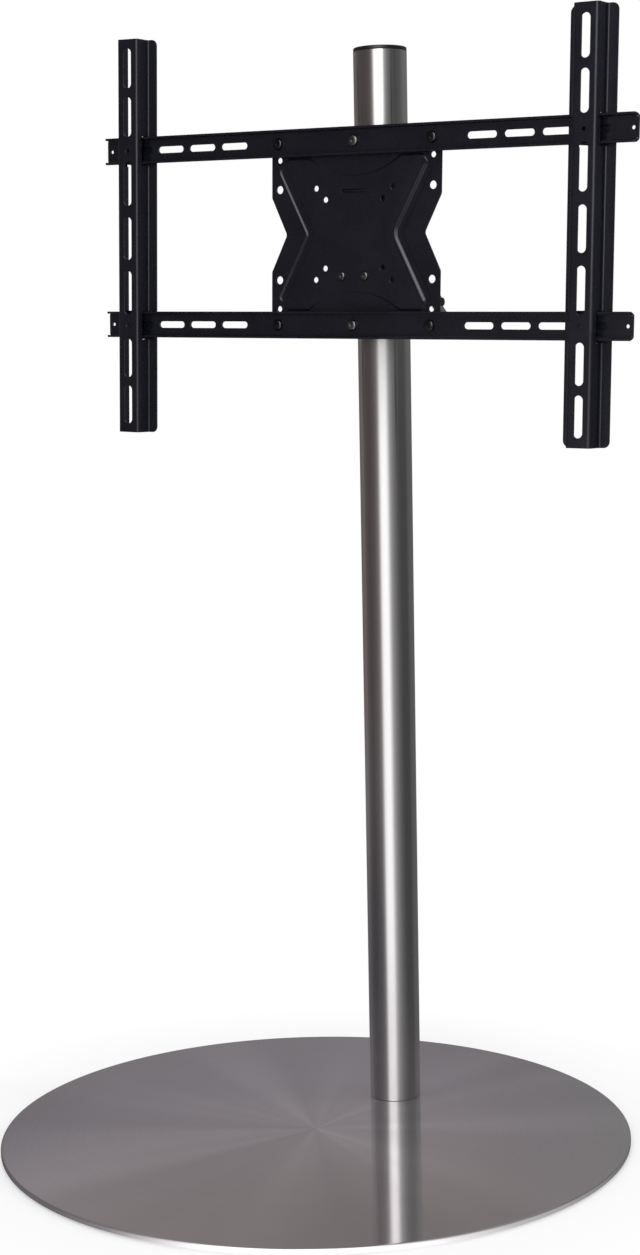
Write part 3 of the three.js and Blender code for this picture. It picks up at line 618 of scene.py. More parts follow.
def rail_place(along, across):
    side = 1 if across >= 0 else -1
    s = abs(across)
    if s <= rail_web:
        return Vector((along, -rail_front, across)), Vector((0, -1, 0))
    if s <= rail_web + rail_arc:
        angle = (s - rail_web) / rail_bend
        point = Vector((
            along,
            -rail_front - rail_bend * (1 - math.cos(angle)),
            side * (rail_web + rail_bend * math.sin(angle)),
        ))
        return point, Vector((0, -math.cos(angle), -side * math.sin(angle)))
    beyond = s - rail_web - rail_arc
    point = Vector((along, -rail_front - rail_bend - beyond, side * (rail_web + rail_bend)))
    return point, Vector((0, 0, -side))


print("half a rail's strip is", round(rail_web + rail_arc + lip_straight, 2), "mm wide")

# %% [markdown]
# The strip's corners are cut back a little at each end of the lips. The screw that holds the
# rail in the middle and the two that hold it at the plate's edges go through plain round holes.

# %% Form the rails
rail_half, rail_lip = 344, rail_web + rail_arc + lip_straight
rail_outline = rounded(four_fold([
    (rail_half - 0.1, 11.5, 3), (rail_half - 2.2, 14.5, 2), (rail_half - 2.2, rail_lip, 0.6),
]), 4)
rail_slots = [
    moved(box_outline(18, 3.75, 3.7, 8), side * (161 + 45 * k), 0) for side in (-1, 1) for k in range(4)
]
rail_holes = [circle(side * (rail_half - 6.5), 0, 2.1, 20) for side in (-1, 1)]
rail_holes += [circle(u, 0, 3.3, 24) for u in (-100, 0, 100)]
bend_rows = [s * (rail_web + rail_arc * k / 6) for k in range(7) for s in (-1, 1)]
bend_rows += [s * b for b in (rail_web - 0.5, rail_web + rail_arc + 0.5) for s in (-1, 1)]
crossings = (340, 318.5, 273.5, 228.5, 183.5, 138.5, 115, 50)
rail_lines = [((-400, b), (400, b)) for b in bend_rows]
rail_lines += [((side * u, -30), (side * u, 30)) for side in (-1, 1) for u in crossings]
rail_heights = (("top", 100), ("bottom", -100))
for word, height in rail_heights:
    name = word + "_rail"
    rail = formed(
        name + "_formed", rail_outline, rail_slots + rail_holes, rail_lines, rail_place, sheet,
        hang @ Matrix.Translation((0, 0, height * mm)), black_coat,
    )
    settle(rail, "mount_head", "black_coat", name)

# %% [markdown]
# ## The arms
# An arm is a hat section: a narrow face to the front with seven slots, two side walls with
# windows that the rails pass through, and two flanges behind the rails. It takes four bends.
# The windows are punched in the flat as well, from the middle of each wall into its lower bend,
# so that the flange stays whole behind the rail. As with the rails, one function turns a
# distance across the strip into a place on the section.

# %% Bend an arm
arm_sheet, arm_wall_x, arm_face_w, arm_flange_w = 1.8, 14.1, 19.1, -0.9
arm_radius, arm_reach = 3.1, 27.3
face_half = arm_wall_x - arm_radius
upper_w, lower_w = arm_face_w - arm_radius, arm_flange_w + arm_radius
lower_x = arm_wall_x + arm_radius
wall, flange_width = upper_w - lower_w, arm_reach - lower_x
arm_arc = arm_radius * math.pi / 2
arm_edges = [
    face_half, face_half + arm_arc, face_half + arm_arc + wall, face_half + 2 * arm_arc + wall,
    face_half + 2 * arm_arc + wall + flange_width,
]


def arm_place(across, along):
    side = 1 if across >= 0 else -1
    s = abs(across)
    a, b, c, d, _ = arm_edges
    if s <= a:
        x, w, nx, nw = s, arm_face_w, 0, 1
    elif s <= b:
        angle = (s - a) / arm_radius
        x, w = a + arm_radius * math.sin(angle), upper_w + arm_radius * math.cos(angle)
        nx, nw = math.sin(angle), math.cos(angle)
    elif s <= c:
        x, w, nx, nw = arm_wall_x, upper_w - (s - b), 1, 0
    elif s <= d:
        angle = (s - c) / arm_radius
        x, w = lower_x - arm_radius * math.cos(angle), lower_w - arm_radius * math.sin(angle)
        nx, nw = math.cos(angle), math.sin(angle)
    else:
        x, w, nx, nw = lower_x + (s - d), arm_flange_w, 0, 1
    return Vector((side * x, -w, along)), Vector((side * nx, -nw, 0))


print("half an arm's strip is", round(arm_edges[-1], 2), "mm wide")

# %% [markdown]
# The blank of an arm has seven slots for the screen's screws down its middle, and a small hole
# between slots at the height of each rail, for the lock screw.

# %% Punch the arm
arm_half = 225.5
arm_outline = box_outline(arm_edges[-1], arm_half, 7, 8)
arm_slots = []
for height, length in ((0, 49), (62.5, 50), (138.3, 44.5), (192.8, 44.5)):
    slot = box_outline(5.25, length / 2, 5.2, 8)
    arm_slots += [moved(slot, 0, s * height) for s in ((1, -1) if height else (1,))]
arm_slots += [circle(0, s * 100, 2.3, 20) for s in (1, -1)]
window_start, window_end = 20.3, 34.0
window = box_outline((window_end - window_start) / 2, 16.35, 1.2, 3)
arm_windows = [
    moved(window, side * (window_start + window_end) / 2, s * 100) for side in (1, -1) for s in (1, -1)
]
arm_rows = [
    side * (start + arm_arc * k / 6)
    for side in (-1, 1) for start in (arm_edges[0], arm_edges[2]) for k in range(7)
]
arm_rows += [
    side * s for side in (-1, 1)
    for s in (arm_edges[0] - 0.5, arm_edges[1] + 0.5, arm_edges[2] - 0.5, arm_edges[3] + 0.5)
]
arm_lines = [((b, -300), (b, 300)) for b in arm_rows]
arm_lines += [((-60, side * v), (60, side * v)) for side in (-1, 1) for v in (223, 165.5, 120, 80, 31)]
print("an arm has", len(arm_slots), "holes in its face and", len(arm_windows), "windows")

# %% [markdown]
# The windows have a little play, so each arm hangs down in them by nearly a millimetre and stands
# a touch out of square. Both arms come from the same blank.

# %% Form the arms
arm_drop = -0.9
arm_at = {}
for name, place_u, skew in (("left_arm", -302.2, 0.46), ("right_arm", 290.2, -0.33)):
    arm_turn = Matrix.Rotation(math.radians(skew), 4, "Y")
    arm_at[name] = hang @ Matrix.Translation((place_u * mm, 0, arm_drop * mm)) @ arm_turn
for name, arm_hang in arm_at.items():
    arm = formed(
        name + "_formed", arm_outline, arm_slots + arm_windows, arm_lines, arm_place, arm_sheet,
        arm_hang, black_coat,
    )
    settle(arm, name, "black_coat", name)

# %% [markdown]
# Behind each rail the hat is open, and the arm would spread there. A short flat strap is spot
# welded across the back, between the flanges, and keeps the rail in its windows. Its lower edge is
# sheared at a slant, clear of the slot, and its welds show as two shallow dimples at either end.

# %% Cut the straps
strap_half_width, strap_half_height, strap_trim, strap_sheet, strap_y = 17.3, 17, 3, 1.4, 0.9
weld_side, weld_up, weld_radius, weld_depth = 15.2, 8, 1.9, 0.35


def strap_place(x, z):
    dimple = 0
    for side in (-1, 1):
        for up in (-1, 1):
            away = math.hypot(x - side * weld_side, z - up * weld_up)
            dimple = max(dimple, weld_depth * max(0, 1 - (away / weld_radius) ** 2))
    return Vector((x, strap_y - dimple / 2, z)), Vector((0, -1 + dimple / strap_sheet, 0))


strap_outline = rounded([
    (strap_half_width, -strap_half_height, 1.5), (strap_half_width, strap_half_height, 1.5),
    (-strap_half_width, strap_half_height, 1.5), (-strap_half_width, strap_trim - strap_half_height, 1.5),
], 4)
weld_rings = [
    moved([p * share for p in circle(0, 0, weld_radius, 16)], side * weld_side, up * weld_up)
    for side in (-1, 1) for up in (-1, 1) for share in (1, 0.66, 0.33)
]
for name, arm_hang in arm_at.items():
    for word, height in rail_heights:
        strap = formed(
            f"{name}_strap_{word}", strap_outline, [], [], strap_place, strap_sheet,
            arm_hang @ Matrix.Translation((0, 0, height * mm)), black_coat, weld_rings, 0.2,
        )
        settle(strap, name, "black_coat")

# %% [markdown]
# ## The pressed plate
# The plate is one blank with a waist. A die pushed its hourglass panel forward by less than the
# sheet's thickness, with a soft slope all round. In the flat, rings are drawn round the
# panel at even steps across the slope, so that the mesh has points where the sheet turns. The
# lift follows an S curve, flat at foot and top, which is how a press leaves sheet.

# %% Draw the panel
panel_raise, panel_slope, slope_steps = 1.5, 3.4, 8
arc_low, arc_side, panel_top = 64.5, 59, 84.6
arc_radius = (arc_side ** 2 + (panel_top - arc_low) ** 2) / 2 / (panel_top - arc_low)
arc_spread = math.asin(arc_side / arc_radius)
arc_steps = 18
arc_turns = [arc_spread * (1 - k / arc_steps) for k in range(arc_steps + 1)]
arc_points = [
    (arc_radius * math.sin(angle), arc_low + arc_radius - arc_radius * math.cos(angle), 0 if k else 6)
    for k, angle in enumerate(arc_turns)
]
panel_foot = rounded(four_fold([(59, 0, 9), (96.3, 71, 8), (88.5, panel_top, 8), *arc_points]), 8)
panel_rings = [grown(panel_foot, -panel_slope * k / slope_steps) for k in range(slope_steps + 1)]
foot_box, top_box = extent(panel_rings[0]), extent(panel_rings[-1])


def distance_to(points, x, z):
    here, nearest = Vector((x, z)), 1e9
    for start, end in zip(points, points[1:]):
        run = end - start
        share = max(0, min(1, (here - start).dot(run) / run.length_squared))
        nearest = min(nearest, (here - start - run * share).length)
    return nearest


def panel_rise(x, z):
    if holds(panel_rings[-1], top_box, x, z):
        return panel_raise
    if not holds(panel_foot, foot_box, x, z):
        return 0
    t = min(1, distance_to(panel_foot + panel_foot[:1], x, z) / panel_slope)
    return panel_raise * t * t * (3 - 2 * t)


print("panel foot", len(panel_foot), "points")

# %% [markdown]
# The panel's two flanks were struck a second time, with a narrow die that pushed them back: each
# is a V-shaped channel with a flat floor, S-curved sides and a long soft shoulder. It follows the
# distance to the line that the die ran along, so one small function shapes it all, and a soft
# minimum blends it into the panel as the steel would. A light at one side then draws a thin
# line down every side of a channel that faces it. Rings are drawn round that line too, close
# together where the sheet turns.

# %% Strike the flank channels
flank_waist, flank_end, flank_up, flank_bend = 56.9, 94.3, 69, 11
channel_depth, channel_floor, channel_blend = 1.4, 2.6, 0.3
channel_side, side_rise, shoulder, shoulder_rise = 4.4, 1.9, 13, 1.0
flank = rounded([(flank_end, -flank_up, 0), (flank_waist, 0, flank_bend), (flank_end, flank_up, 0)], 8)


def channel_ring(away):
    outer, inner = [], []
    for i, here in enumerate(flank):
        before, after = flank[max(0, i - 1)], flank[min(len(flank) - 1, i + 1)]
        run = (after - before).normalized()
        outer.append(here + Vector((run.y, -run.x)) * away)
        inner.append(here - Vector((run.y, -run.x)) * away)
    ends = []
    for centre, neighbour in ((flank[-1], flank[-2]), (flank[0], flank[1])):
        run = centre - neighbour
        angle = math.atan2(run.y, run.x)
        ends.append([
            centre + away * Vector((math.cos(angle + turn), math.sin(angle + turn)))
            for turn in (math.radians(t) for t in range(-75, 76, 15))
        ])
    return outer + ends[0] + inner[::-1] + ends[1]


channel_steps = [1.2, channel_floor] + [channel_floor + channel_side * k / 10 for k in range(1, 12)]
channel_steps += [9.5, 12.5, 16]
channel_rings = [channel_ring(away) for away in channel_steps]
channel_rings += [[Vector((-p.x, p.y)) for p in ring[::-1]] for ring in channel_rings]


def plate_place(x, z):
    lift = panel_rise(x, z)
    away = distance_to(flank, abs(x), z)
    if away < channel_floor + channel_side + shoulder:
        channel = -channel_depth
        for start, width, rise in (
            (channel_floor, channel_side, side_rise),
            (channel_floor + channel_side, shoulder, shoulder_rise),
        ):
            t = max(0, min(1, (away - start) / width))
            channel += rise * t * t * (3 - 2 * t)
        apart = abs(lift - channel)
        lift = min(lift, channel) - max(0, channel_blend - apart) ** 2 / (4 * channel_blend)
    return Vector((x, sheet / 2 - lift, z)), Vector((0, -1, 0))


print(len(channel_rings), "rings round the flanks")

# %% [markdown]
# The plate's holes fit the standard patterns of screens, and a slot high in the panel takes
# the tongue of the hook plate behind it. Blank and panel then go through the press together.

# %% Press the plate
plate_outline = rounded(four_fold([(90, 0, 6), (110.5, 41, 6), (110.5, 112, 4)]), 6)
plate_holes = []
for su in (1, -1):
    for sv in (1, -1):
        plate_holes += [circle(su * half, sv * half, 3.25, 28) for half in (37.5, 50)]
        plate_holes += [circle(su * 100, sv * 50, 4.5, 32), circle(su * 100, sv * 82, 3.25, 28)]
    plate_holes.append(circle(su * 15, -46, 2.9, 20))
plate_holes += [circle(u, s * 100, 3.3, 24) for u in (-100, 0, 100) for s in (1, -1)]
plate_holes.append(moved(box_outline(16.2, 1.8, 0.4, 2), 0, 46.5))
plate = formed(
    "pressed_plate", plate_outline, plate_holes, [], plate_place, sheet, hang, black_coat,
    panel_rings + channel_rings,
)
settle(plate, "mount_head", "black_coat", "vesa_plate")

# %% [markdown]
# ## Screws
# The same button-head screw holds the rails and, smaller, the plate. Where one thing repeats,
# Geometry Nodes suit it: a tree makes one screw from its sizes and sets it on every point of a
# small mesh of places. The head is a cylinder whose upper rings draw in along an ellipse. Shank
# and recess are plain cylinders set at a height, and the recess has only six sides.

# %% The parts of a screw
def domed_head(tree, radius, height):
    head = add(
        tree, "GeometryNodeMeshCylinder", Vertices=48, Side_Segments=10, Radius=radius, Depth=height,
    )
    place = add(tree, "GeometryNodeInputPosition").outputs[0]
    parts = add(tree, "ShaderNodeSeparateXYZ", Vector=place).outputs
    share = maths(tree, "ADD", maths(tree, "DIVIDE", parts["Z"], height), 0.5)
    above_rim = maths(tree, "SUBTRACT", maths(tree, "MULTIPLY", share, 1.5), 0.5)
    rise = maths(tree, "MAXIMUM", above_rim, 0.0)
    fallen = maths(tree, "SUBTRACT", 1.0, maths(tree, "POWER", rise, 2.0))
    drawn = maths(tree, "SQRT", maths(tree, "MAXIMUM", fallen, 0.0))
    crown_share = 0.58
    width = maths(tree, "MULTIPLY_ADD", drawn, 1 - crown_share, crown_share)
    scaled = add(
        tree, "ShaderNodeCombineXYZ", X=maths(tree, "MULTIPLY", parts["X"], width),
        Y=maths(tree, "MULTIPLY", parts["Y"], width),
        Z=maths(tree, "MULTIPLY_ADD", height, 0.5, parts["Z"]),
    ).outputs[0]
    domed = add(tree, "GeometryNodeSetPosition", Geometry=head.outputs["Mesh"], Position=scaled)
    return domed.outputs[0]


def cylinder_at(tree, vertices, radius, depth, height):
    made = add(tree, "GeometryNodeMeshCylinder", Vertices=vertices, Radius=radius, Depth=depth)
    up = add(tree, "ShaderNodeCombineXYZ", Z=height).outputs[0]
    placed = add(tree, "GeometryNodeTransform", Geometry=made.outputs["Mesh"], Translation=up)
    return placed.outputs[0]


# %% [markdown]
# The tree joins the shank to the head and cuts the recess out. Each screw stops at its own
# angle, from a fixed seed. The tree ends by making the copies real and giving them their finish.

# %% A tree that makes screws
def named_input(tree, name, kind, value=None):
    socket = tree.interface.new_socket(name, in_out="INPUT", socket_type=kind)
    if value is not None:
        socket.default_value = value
    return socket.identifier


def screw_tree():
    tree = bpy.data.node_groups.new("button_screws", "GeometryNodeTree")
    tree.is_modifier = True
    tree.interface.new_socket("Geometry", in_out="OUTPUT", socket_type="NodeSocketGeometry")
    named_input(tree, "Places", "NodeSocketGeometry")
    ids = {n: named_input(tree, n, "NodeSocketFloat", v * mm) for n, v in (
        ("Head Radius", 6), ("Head Height", 3.5), ("Shank Radius", 3), ("Shank Length", 10),
        ("Recess Radius", 3), ("Recess Depth", 1.8),
    )}
    ids["Seed"] = named_input(tree, "Seed", "NodeSocketInt", 1)
    ids["Finish"] = named_input(tree, "Finish", "NodeSocketMaterial")
    given = tree.nodes.new("NodeGroupInput").outputs
    head = domed_head(tree, given["Head Radius"], given["Head Height"])
    shank_middle = maths(tree, "MULTIPLY_ADD", given["Shank Length"], -0.5, 0.5 * mm)
    shank = cylinder_at(tree, 32, given["Shank Radius"], given["Shank Length"], shank_middle)
    joined = add(tree, "GeometryNodeMeshBoolean", "UNION", Mesh_2=head)
    fill(joined, Mesh_2=shank)
    both_ways = maths(tree, "MULTIPLY", given["Recess Depth"], 2.0)
    recess = cylinder_at(tree, 6, given["Recess Radius"], both_ways, given["Head Height"])
    cut = add(tree, "GeometryNodeMeshBoolean", "DIFFERENCE", Mesh_1=joined.outputs[0], Mesh_2=recess)
    joined.solver = cut.solver = "EXACT"
    spin = add(tree, "FunctionNodeRandomValue", i3=2 * math.pi, Seed=given["Seed"]).outputs[1]
    face = add(tree, "ShaderNodeCombineXYZ", X=math.pi / 2, Y=spin).outputs[0]
    spots = add(
        tree, "GeometryNodeInstanceOnPoints", Points=given["Places"], Instance=cut.outputs[0],
        Rotation=face,
    ).outputs[0]
    real = add(tree, "GeometryNodeRealizeInstances", i0=spots).outputs[0]
    done = add(tree, "GeometryNodeSetMaterial", Geometry=real, Material=given["Finish"]).outputs[0]
    add(tree, "NodeGroupOutput", i0=done)
    return tree, ids


screws, screw_inputs = screw_tree()
print("screw tree", len(screws.nodes), "nodes")

# %% [markdown]
# ## Setting the screws
# The tree runs as a modifier on the places. Its result is copied to a plain mesh, the modifier
# goes, and the mesh is turned off level with the bracket.

# %% Set the screws
def run_tree(name, tree, places, settings, matrix, material):
    data = mesh_of(name + "_places", [Vector(p) * mm for p in places], [])
    holder = in_scene(name + "_places", data)
    modifier = holder.modifiers.new("made", "NODES")
    modifier.node_group = tree
    for identifier, value in settings:
        modifier[identifier] = value
    holder.update_tag()
    evaluated = holder.evaluated_get(bpy.context.evaluated_depsgraph_get())
    made = bpy.data.meshes.new_from_object(evaluated)
    made.name = name
    holder.modifiers.clear()
    bpy.data.objects.remove(holder)
    return finish_mesh(name, made, matrix, material, 32)


def set_screws(name, places, sizes, seed, material, slot, nodes):
    settings = [(screw_inputs[k], v * mm) for k, v in sizes.items()]
    settings += [(screw_inputs["Seed"], seed), (screw_inputs["Finish"], material)]
    piece = run_tree(name, screws, places, settings, hang, material)
    settle(piece, "mount_head", slot, *nodes)


rail_sizes = {
    "Head Radius": 6.2, "Head Height": 3.5, "Shank Radius": 3, "Shank Length": 10.9,
    "Recess Radius": 2.3, "Recess Depth": 1.9,
}
rail_seat, panel_seat = -3.1, -1.8
outer_places = [(u, rail_seat, v) for u in (-100, 100) for v in (100, -100)]
outer_nodes = [f"rail_screw_{a}_{b}" for a in ("top", "bottom") for b in ("left", "right")]
set_screws("rail_screws_outer", outer_places, rail_sizes, 3, dark_screw, "black_coat", outer_nodes)
set_screws(
    "rail_screws_middle", [(0, rail_seat, v) for v in (100, -100)], rail_sizes, 8,
    worn_screw, "black_coat", ["rail_screw_top_middle", "rail_screw_bottom_middle"],
)
head_sizes = {
    "Head Radius": 4.8, "Head Height": 2.6, "Shank Radius": 2.6, "Shank Length": 12,
    "Recess Radius": 1.7, "Recess Depth": 1.4,
}
# The head screws wear zinc darkened with painted shade.
set_screws(
    "head_screws", [(u, panel_seat, -46) for u in (-15, 15)], head_sizes, 5,
    dull_zinc, "zinc", ["head_screw_left", "head_screw_right"],
)

# %% [markdown]
# ## The hinge, the sleeve and the clamp
# These machined pieces already have their true shapes in the frame, but with corners as sharp
# as a drawing. A copy of each is welded, its flat triangles are dissolved into whole faces, and
# every edge gets a small bevel, as a file or a tumbler would leave it.

# %% Dress the machined pieces
def dressed(node, body, slot, bevel):
    name = node + "_dressed"
    data = frame["nodes"][node].data.copy()
    data.name = name
    work = bmesh.new()
    work.from_mesh(data)
    bmesh.ops.remove_doubles(work, verts=work.verts, dist=2e-6)
    bmesh.ops.dissolve_limit(work, angle_limit=math.radians(0.8), verts=work.verts, edges=work.edges)
    sharp = [
        e for e in work.edges
        if len(e.link_faces) == 2 and e.calc_face_angle(0) > math.radians(32)
    ]
    bmesh.ops.bevel(
        work, geom=sharp, offset=bevel * mm, segments=2, profile=0.5, affect="EDGES", clamp_overlap=True,
    )
    bmesh.ops.triangulate(work, faces=[f for f in work.faces if len(f.verts) > 4])
    work.to_mesh(data)
    work.free()
    settle(finish_mesh(name, data, Matrix.Identity(4), finish_of[slot], 30), body, slot, node)


for node, body, slot, bevel in (
    ("swivel_sleeve", "swivel_sleeve", "black_coat", 0.5),
    ("tilt_knuckle", "tilt_knuckle", "black_coat", 0.4),
    ("hook_plate", "mount_head", "black_coat", 0.25),
    ("upper_bush", "bushes", "nylon", 0.25),
    ("lower_bush", "bushes", "nylon", 0.25),
    ("tilt_bolt", "swivel_sleeve", "zinc", 0.3),
    ("tilt_nut", "swivel_sleeve", "zinc", 0.35),
    ("tilt_washer_left", "swivel_sleeve", "zinc", 0.2),
    ("tilt_washer_right", "swivel_sleeve", "zinc", 0.2),
    ("clamp_screw", "clamp_handle", "black_plastic", 0.6),
    ("clamp_wing", "clamp_handle", "zinc", 0.5),
    ("left_lock_screw", "left_arm", "black_coat", 0.2),
    ("right_lock_screw", "right_arm", "black_coat", 0.2),
):
    dressed(node, body, slot, bevel)

# %% [markdown]
# ## Pieces kept as they are
# Pads, nuts, hidden bolts and the plug need only their finish.

# %% Finish the kept nodes
for node, piece in frame["nodes"].items():
    piece.data.materials.clear()
    piece.data.materials.append(finish_of[slot_of[node]])
print(len(frame["nodes"]), "nodes finished")

# %% [markdown]
# ## The floor
# A pale floor with nothing on it. Near the stand it is a plain matt surface that takes the
# shadow. Further out it fades to the white of the background, for the camera alone.

# %% Lay the floor
def mix_shaders(tree, factor, first, second):
    sockets = {"i0": factor, "i1": first.outputs[0], "i2": second.outputs[0]}
    return add(tree, "ShaderNodeMixShader", **sockets).outputs[0]


def floor_finish():
    material = bpy.data.materials.new("floor_white")
    tree = empty_tree(material)
    place = add(tree, "ShaderNodeTexCoord").outputs["Object"]
    away = add(tree, "ShaderNodeVectorMath", "LENGTH", i0=place).outputs["Value"]
    matt_to, white_from = 0.24, 0.52
    fade = spread(tree, away, 0, 1, matt_to, white_from)
    seen = add(tree, "ShaderNodeLightPath").outputs["Is Camera Ray"]
    factor = maths(tree, "MULTIPLY", fade, seen)
    matt = add(tree, "ShaderNodeBsdfDiffuse", Color=(0.94, 0.94, 0.94, 1))
    white = add(tree, "ShaderNodeEmission", Color=(1, 1, 1, 1), Strength=1.0)
    add(tree, "ShaderNodeOutputMaterial", i0=mix_shaders(tree, factor, matt, white))
    return material


floor_half = 9
floor_corners = [(x * floor_half, y * floor_half, 0) for x, y in ((-1, -1), (1, -1), (1, 1), (-1, 1))]
floor_data = mesh_of("floor", floor_corners, [(0, 1, 2, 3)])
floor_data.materials.append(floor_finish())
floor = in_scene("floor", floor_data)
print(floor.name, 2 * floor_half, "m square")

# %% [markdown]
# ## The light
# Soft studio light. The world is a plain pale surround for the matt finishes, and white wherever
# the camera, a mirror or a clear thing looks at it.

# %% Set the world
world = bpy.data.worlds.new("surround")
bpy.context.scene.world = world
sky = empty_tree(world)
path = add(sky, "ShaderNodeLightPath").outputs
looked_at = path["Is Camera Ray"]
for kind in ("Is Glossy Ray", "Is Transmission Ray"):
    looked_at = maths(sky, "MAXIMUM", looked_at, path[kind])
around = add(sky, "ShaderNodeBackground", Color=(0.60, 0.60, 0.61, 1), Strength=1.0)
white = add(sky, "ShaderNodeBackground", Color=(1, 1, 1, 1), Strength=1.0)
add(sky, "ShaderNodeOutputWorld", i0=mix_shaders(sky, looked_at, around, white))
print("world", len(sky.nodes), "nodes")

# %% [markdown]
# A big soft lamp stands beside the camera, one hangs overhead for the disc, and one from the
# right rear draws the edges of the black bracket. No metal mirrors them: what it mirrors is
# hung in the room in the next steps.

# %% Set the lamps
def soft_lamp(name, place, target, width, height, power):
    lamp = bpy.data.lights.new(name, "AREA")
    lamp.shape = "RECTANGLE"
    lamp.size, lamp.size_y, lamp.energy = width, height, power
    made = in_scene(name, lamp)
    aim = (Vector(target) - Vector(place)).to_track_quat("-Z", "Y").to_matrix().to_4x4()
    made.matrix_world = Matrix.Translation(place) @ aim
    made.visible_glossy = False
    print(name, power, "watts")


soft_lamp("beside_camera", (0.93, -2.7, 1.3), (0, 0, 0.75), 1.5, 2.2, 30)
soft_lamp("overhead", (-0.4, 0.2, 3.2), (0, 0, 0), 2.2, 2.2, 26)
soft_lamp("right_rear", (2.2, 1.2, 1.6), (0, 0, 1.0), 0.5, 1.6, 16)

# %% [markdown]
# ## What the metal sees
# Bright metal has hardly a colour of its own: it shows the room. For such a piece a studio is
# hung with boards and cloths of grey and black, with one bright strip between them, and each
# of them draws a long band down the pole. Here they are faces that glow by themselves. They are
# seen in reflections alone, so they neither light the stand nor shade it, and the renderer
# needn't sample them as lamps.

# %% Helpers for the room
def new_glow(name, strength=1.0):
    material = bpy.data.materials.new(name)
    material.cycles.emission_sampling = "NONE"
    tree = empty_tree(material)
    glow = add(tree, "ShaderNodeEmission", Color=(1, 1, 1, 1), Strength=strength)
    output = add(tree, "ShaderNodeOutputMaterial", i0=glow.outputs[0])
    return material, tree, glow, output


def round_pole(tree):
    place = add(tree, "ShaderNodeTexCoord").outputs["Object"]
    parts = add(tree, "ShaderNodeSeparateXYZ", Vector=place).outputs
    return parts, maths(tree, "ARCTAN2", parts["Y"], parts["X"])


def colour_ramp(tree, share, rows):
    ramp = add(tree, "ShaderNodeValToRGB", Fac=share)
    marks = ramp.color_ramp.elements
    for n, (position, *colour) in enumerate(rows):
        mark = marks[n] if n < 2 else marks.new(position)
        mark.position = position
        mark.color = (*colour, 1)
    return ramp.outputs["Color"]


def seen_in_metal_only(name, points, faces, material, place=(pole_x, pole_y, 0)):
    data = mesh_of(name, points, faces)
    data.materials.append(material)
    made = in_scene(name, data)
    made.location = place
    for kind in ("camera", "diffuse", "transmission", "volume_scatter", "shadow"):
        setattr(made, "visible_" + kind, False)
    print(name, len(faces), "faces")


# %% [markdown]
# The greys of the wall are set by the angle round the pole, in degrees from straight right,
# once for its foot, once for its middle and once for its top, and run softly into each other.
# The three columns travel as the red, green and blue of one ramp. The half of the wall that the
# disc mirrors is darker at its foot, a little mauve low down and brown above.

# %% Mix the greys of the wall
wall_greys = (
    (-180, 0.25, 0.26, 0.20), (-165, 0.16, 0.16, 0.14), (-145, 0.12, 0.12, 0.12),
    (-125, 0.14, 0.14, 0.12), (-105, 0.22, 0.22, 0.16), (-95, 0.36, 0.36, 0.34),
    (-88, 0.9, 0.9, 1.3), (-82, 1.55, 1.55, 2.4), (-56, 1.55, 1.55, 2.4),
    (-49, 0.95, 0.95, 1.3), (-41, 0.52, 0.52, 0.5), (-28, 0.3, 0.3, 0.25),
    (-15, 0.17, 0.17, 0.16), (5, 0.09, 0.09, 0.10), (35, 0.08, 0.08, 0.14),
    (55, 0.15, 0.15, 0.22), (80, 0.16, 0.16, 0.22), (100, 0.21, 0.15, 0.22),
    (121, 0.275, 0.16, 0.22), (150, 0.275, 0.19, 0.22), (180, 0.25, 0.26, 0.20),
)
tint_top = 0.4
cloth_tints = (
    (0, 0.56, 0.53, 0.57), (0.14, 0.65, 0.61, 0.66), (0.19, 0.77, 0.72, 0.78),
    (0.26, 1.0, 0.92, 0.97), (0.33, 0.93, 0.83, 0.83), (tint_top, 0.86, 0.76, 0.74),
)


def wall_finish():
    material, tree, glow, _ = new_glow("studio_wall")
    parts, angle = round_pole(tree)
    rows = [((degrees + 180) / 360, *levels) for degrees, *levels in wall_greys]
    greys = colour_ramp(tree, spread(tree, angle, 0, 1, -math.pi, math.pi), rows)
    greys_here = add(tree, "ShaderNodeSeparateColor", Color=greys).outputs
    level = greys_here["Red"]
    for upper, low, high in (("Green", 0.12, 0.42), ("Blue", 0.92, 0.98)):
        gap = maths(tree, "SUBTRACT", greys_here[upper], level)
        level = maths(tree, "MULTIPLY_ADD", gap, spread(tree, parts["Z"], 0, 1, low, high), level)
    rows = [(height / tint_top, *colour) for height, *colour in cloth_tints]
    cloth = colour_ramp(tree, spread(tree, parts["Z"], 0, 1, 0, tint_top), rows)
    from_right = maths(tree, "ABSOLUTE", angle)
    mirrored = spread(tree, from_right, 0, 1, math.radians(80), math.radians(105))
    fill(glow, Color=two_tone(tree, mirrored, (1, 1, 1, 1), cloth), Strength=level)
    return material


cloth_grey = wall_finish()
print(cloth_grey.name, len(cloth_grey.node_tree.nodes), "nodes")

# %% [markdown]
# The wall is one outline spun round the pole, like a turned piece, with a roof. Its top stands
# further back than its foot, so that the whole width of the bracket sees the same greys.

# %% Hang the studio wall
wall_near, wall_far, wall_top, cloth_lift = 0.62, 2.4, 5.0, 0.0008
wall_rows = (
    (wall_near, cloth_lift), (wall_near, 0.68), (wall_far, 0.70), (wall_far, wall_top), (0.01, wall_top),
)
wall_steps, row_count = 96, len(wall_rows)
wall_points = [
    (radius * math.cos(2 * math.pi * k / wall_steps), radius * math.sin(2 * math.pi * k / wall_steps), z)
    for k in range(wall_steps) for radius, z in wall_rows
]
wall_faces = [
    tuple(n % len(wall_points) for n in (first, first + 1, first + row_count + 1, first + row_count))
    for k in range(wall_steps) for first in range(k * row_count, k * row_count + row_count - 1)
]
seen_in_metal_only("studio_wall", wall_points, wall_faces, cloth_grey)

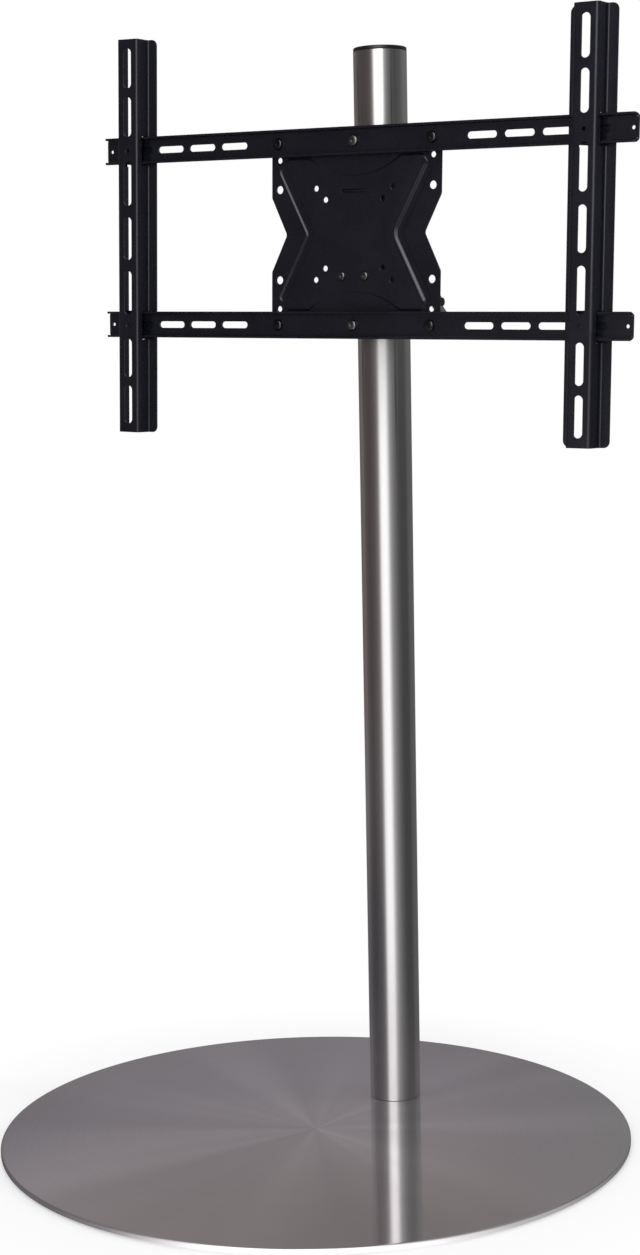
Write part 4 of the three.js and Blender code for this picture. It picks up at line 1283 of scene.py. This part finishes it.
# %% [markdown]
# Two more cloths lie flat. One is on the floor and has the wall's greys, so that the foot of the
# pole shows the same bands as the rest of it. The other is a dark flag in front, just under the
# bracket: it keeps most of the bright strip out of what faces right and down. Its edges are
# transparent and run softly into the cloth, so that nothing shows a hard line where it ends.

# %% Lay the ground cloth and the flag
flag_round, flag_spread, flag_inner, flag_height = -57, 62, 0.05, 0.905


def ring_part(first_degrees, last_degrees, inner, outer, z, steps=48):
    across = last_degrees - first_degrees
    turns = [math.radians(first_degrees + across * k / steps) for k in range(steps + 1)]
    points = [(r * math.cos(a), r * math.sin(a), z) for a in turns for r in (inner, outer)]
    return points, [(2 * k, 2 * k + 1, 2 * k + 3, 2 * k + 2) for k in range(steps)]


def flag_finish():
    material, tree, glow, output = new_glow("flag_dark", 0.26)
    parts, angle = round_pole(tree)
    flat = add(tree, "ShaderNodeCombineXYZ", X=parts["X"], Y=parts["Y"]).outputs[0]
    away = add(tree, "ShaderNodeVectorMath", "LENGTH", i0=flat).outputs["Value"]
    off = maths(tree, "ABSOLUTE", maths(tree, "SUBTRACT", angle, math.radians(flag_round)))
    full_from, full_to, full_share = 0.14, 0.45, 0.55
    cover = spread(tree, away, 0, 1, flag_inner, full_from)
    for edge in (
        spread(tree, away, 1, 0, full_to, wall_near),
        spread(tree, off, 1, 0, math.radians(full_share * flag_spread), math.radians(flag_spread)),
    ):
        cover = maths(tree, "MULTIPLY", cover, edge)
    clear = add(tree, "ShaderNodeBsdfTransparent")
    fill(output, i0=mix_shaders(tree, cover, clear, glow))
    return material


seen_in_metal_only("ground_cloth", *ring_part(-180, 180, 0.01, wall_near, cloth_lift), cloth_grey)
flag_turns = (flag_round - flag_spread, flag_round + flag_spread)
flag_ring = ring_part(*flag_turns, flag_inner, wall_near, flag_height)
seen_in_metal_only("flag", *flag_ring, flag_finish())

# %% [markdown]
# One bright board hangs higher up, to the right. Only what faces right and up can show it: the
# crowns of the screws and half of the channel sides, which is why their lines are not all alike.

# %% Hang the high board
board_round, board_up, board_away, board_half = math.radians(-57), math.radians(33), 2.2, 0.42
toward_board = Vector((
    math.cos(board_round) * math.cos(board_up),
    math.sin(board_round) * math.cos(board_up),
    math.sin(board_up),
))
board_across = Vector((-math.sin(board_round), math.cos(board_round), 0)) * board_half
board_rise = toward_board.cross(board_across)
board_points = [
    toward_board * board_away + board_across * a + board_rise * b
    for a, b in ((-1, -1), (1, -1), (1, 1), (-1, 1))
]
board_white = new_glow("board_white", 5.0)[0]
seen_in_metal_only(
    "high_board", board_points, [(0, 1, 2, 3)], board_white, (pole_x, pole_y - reach, bracket_height),
)
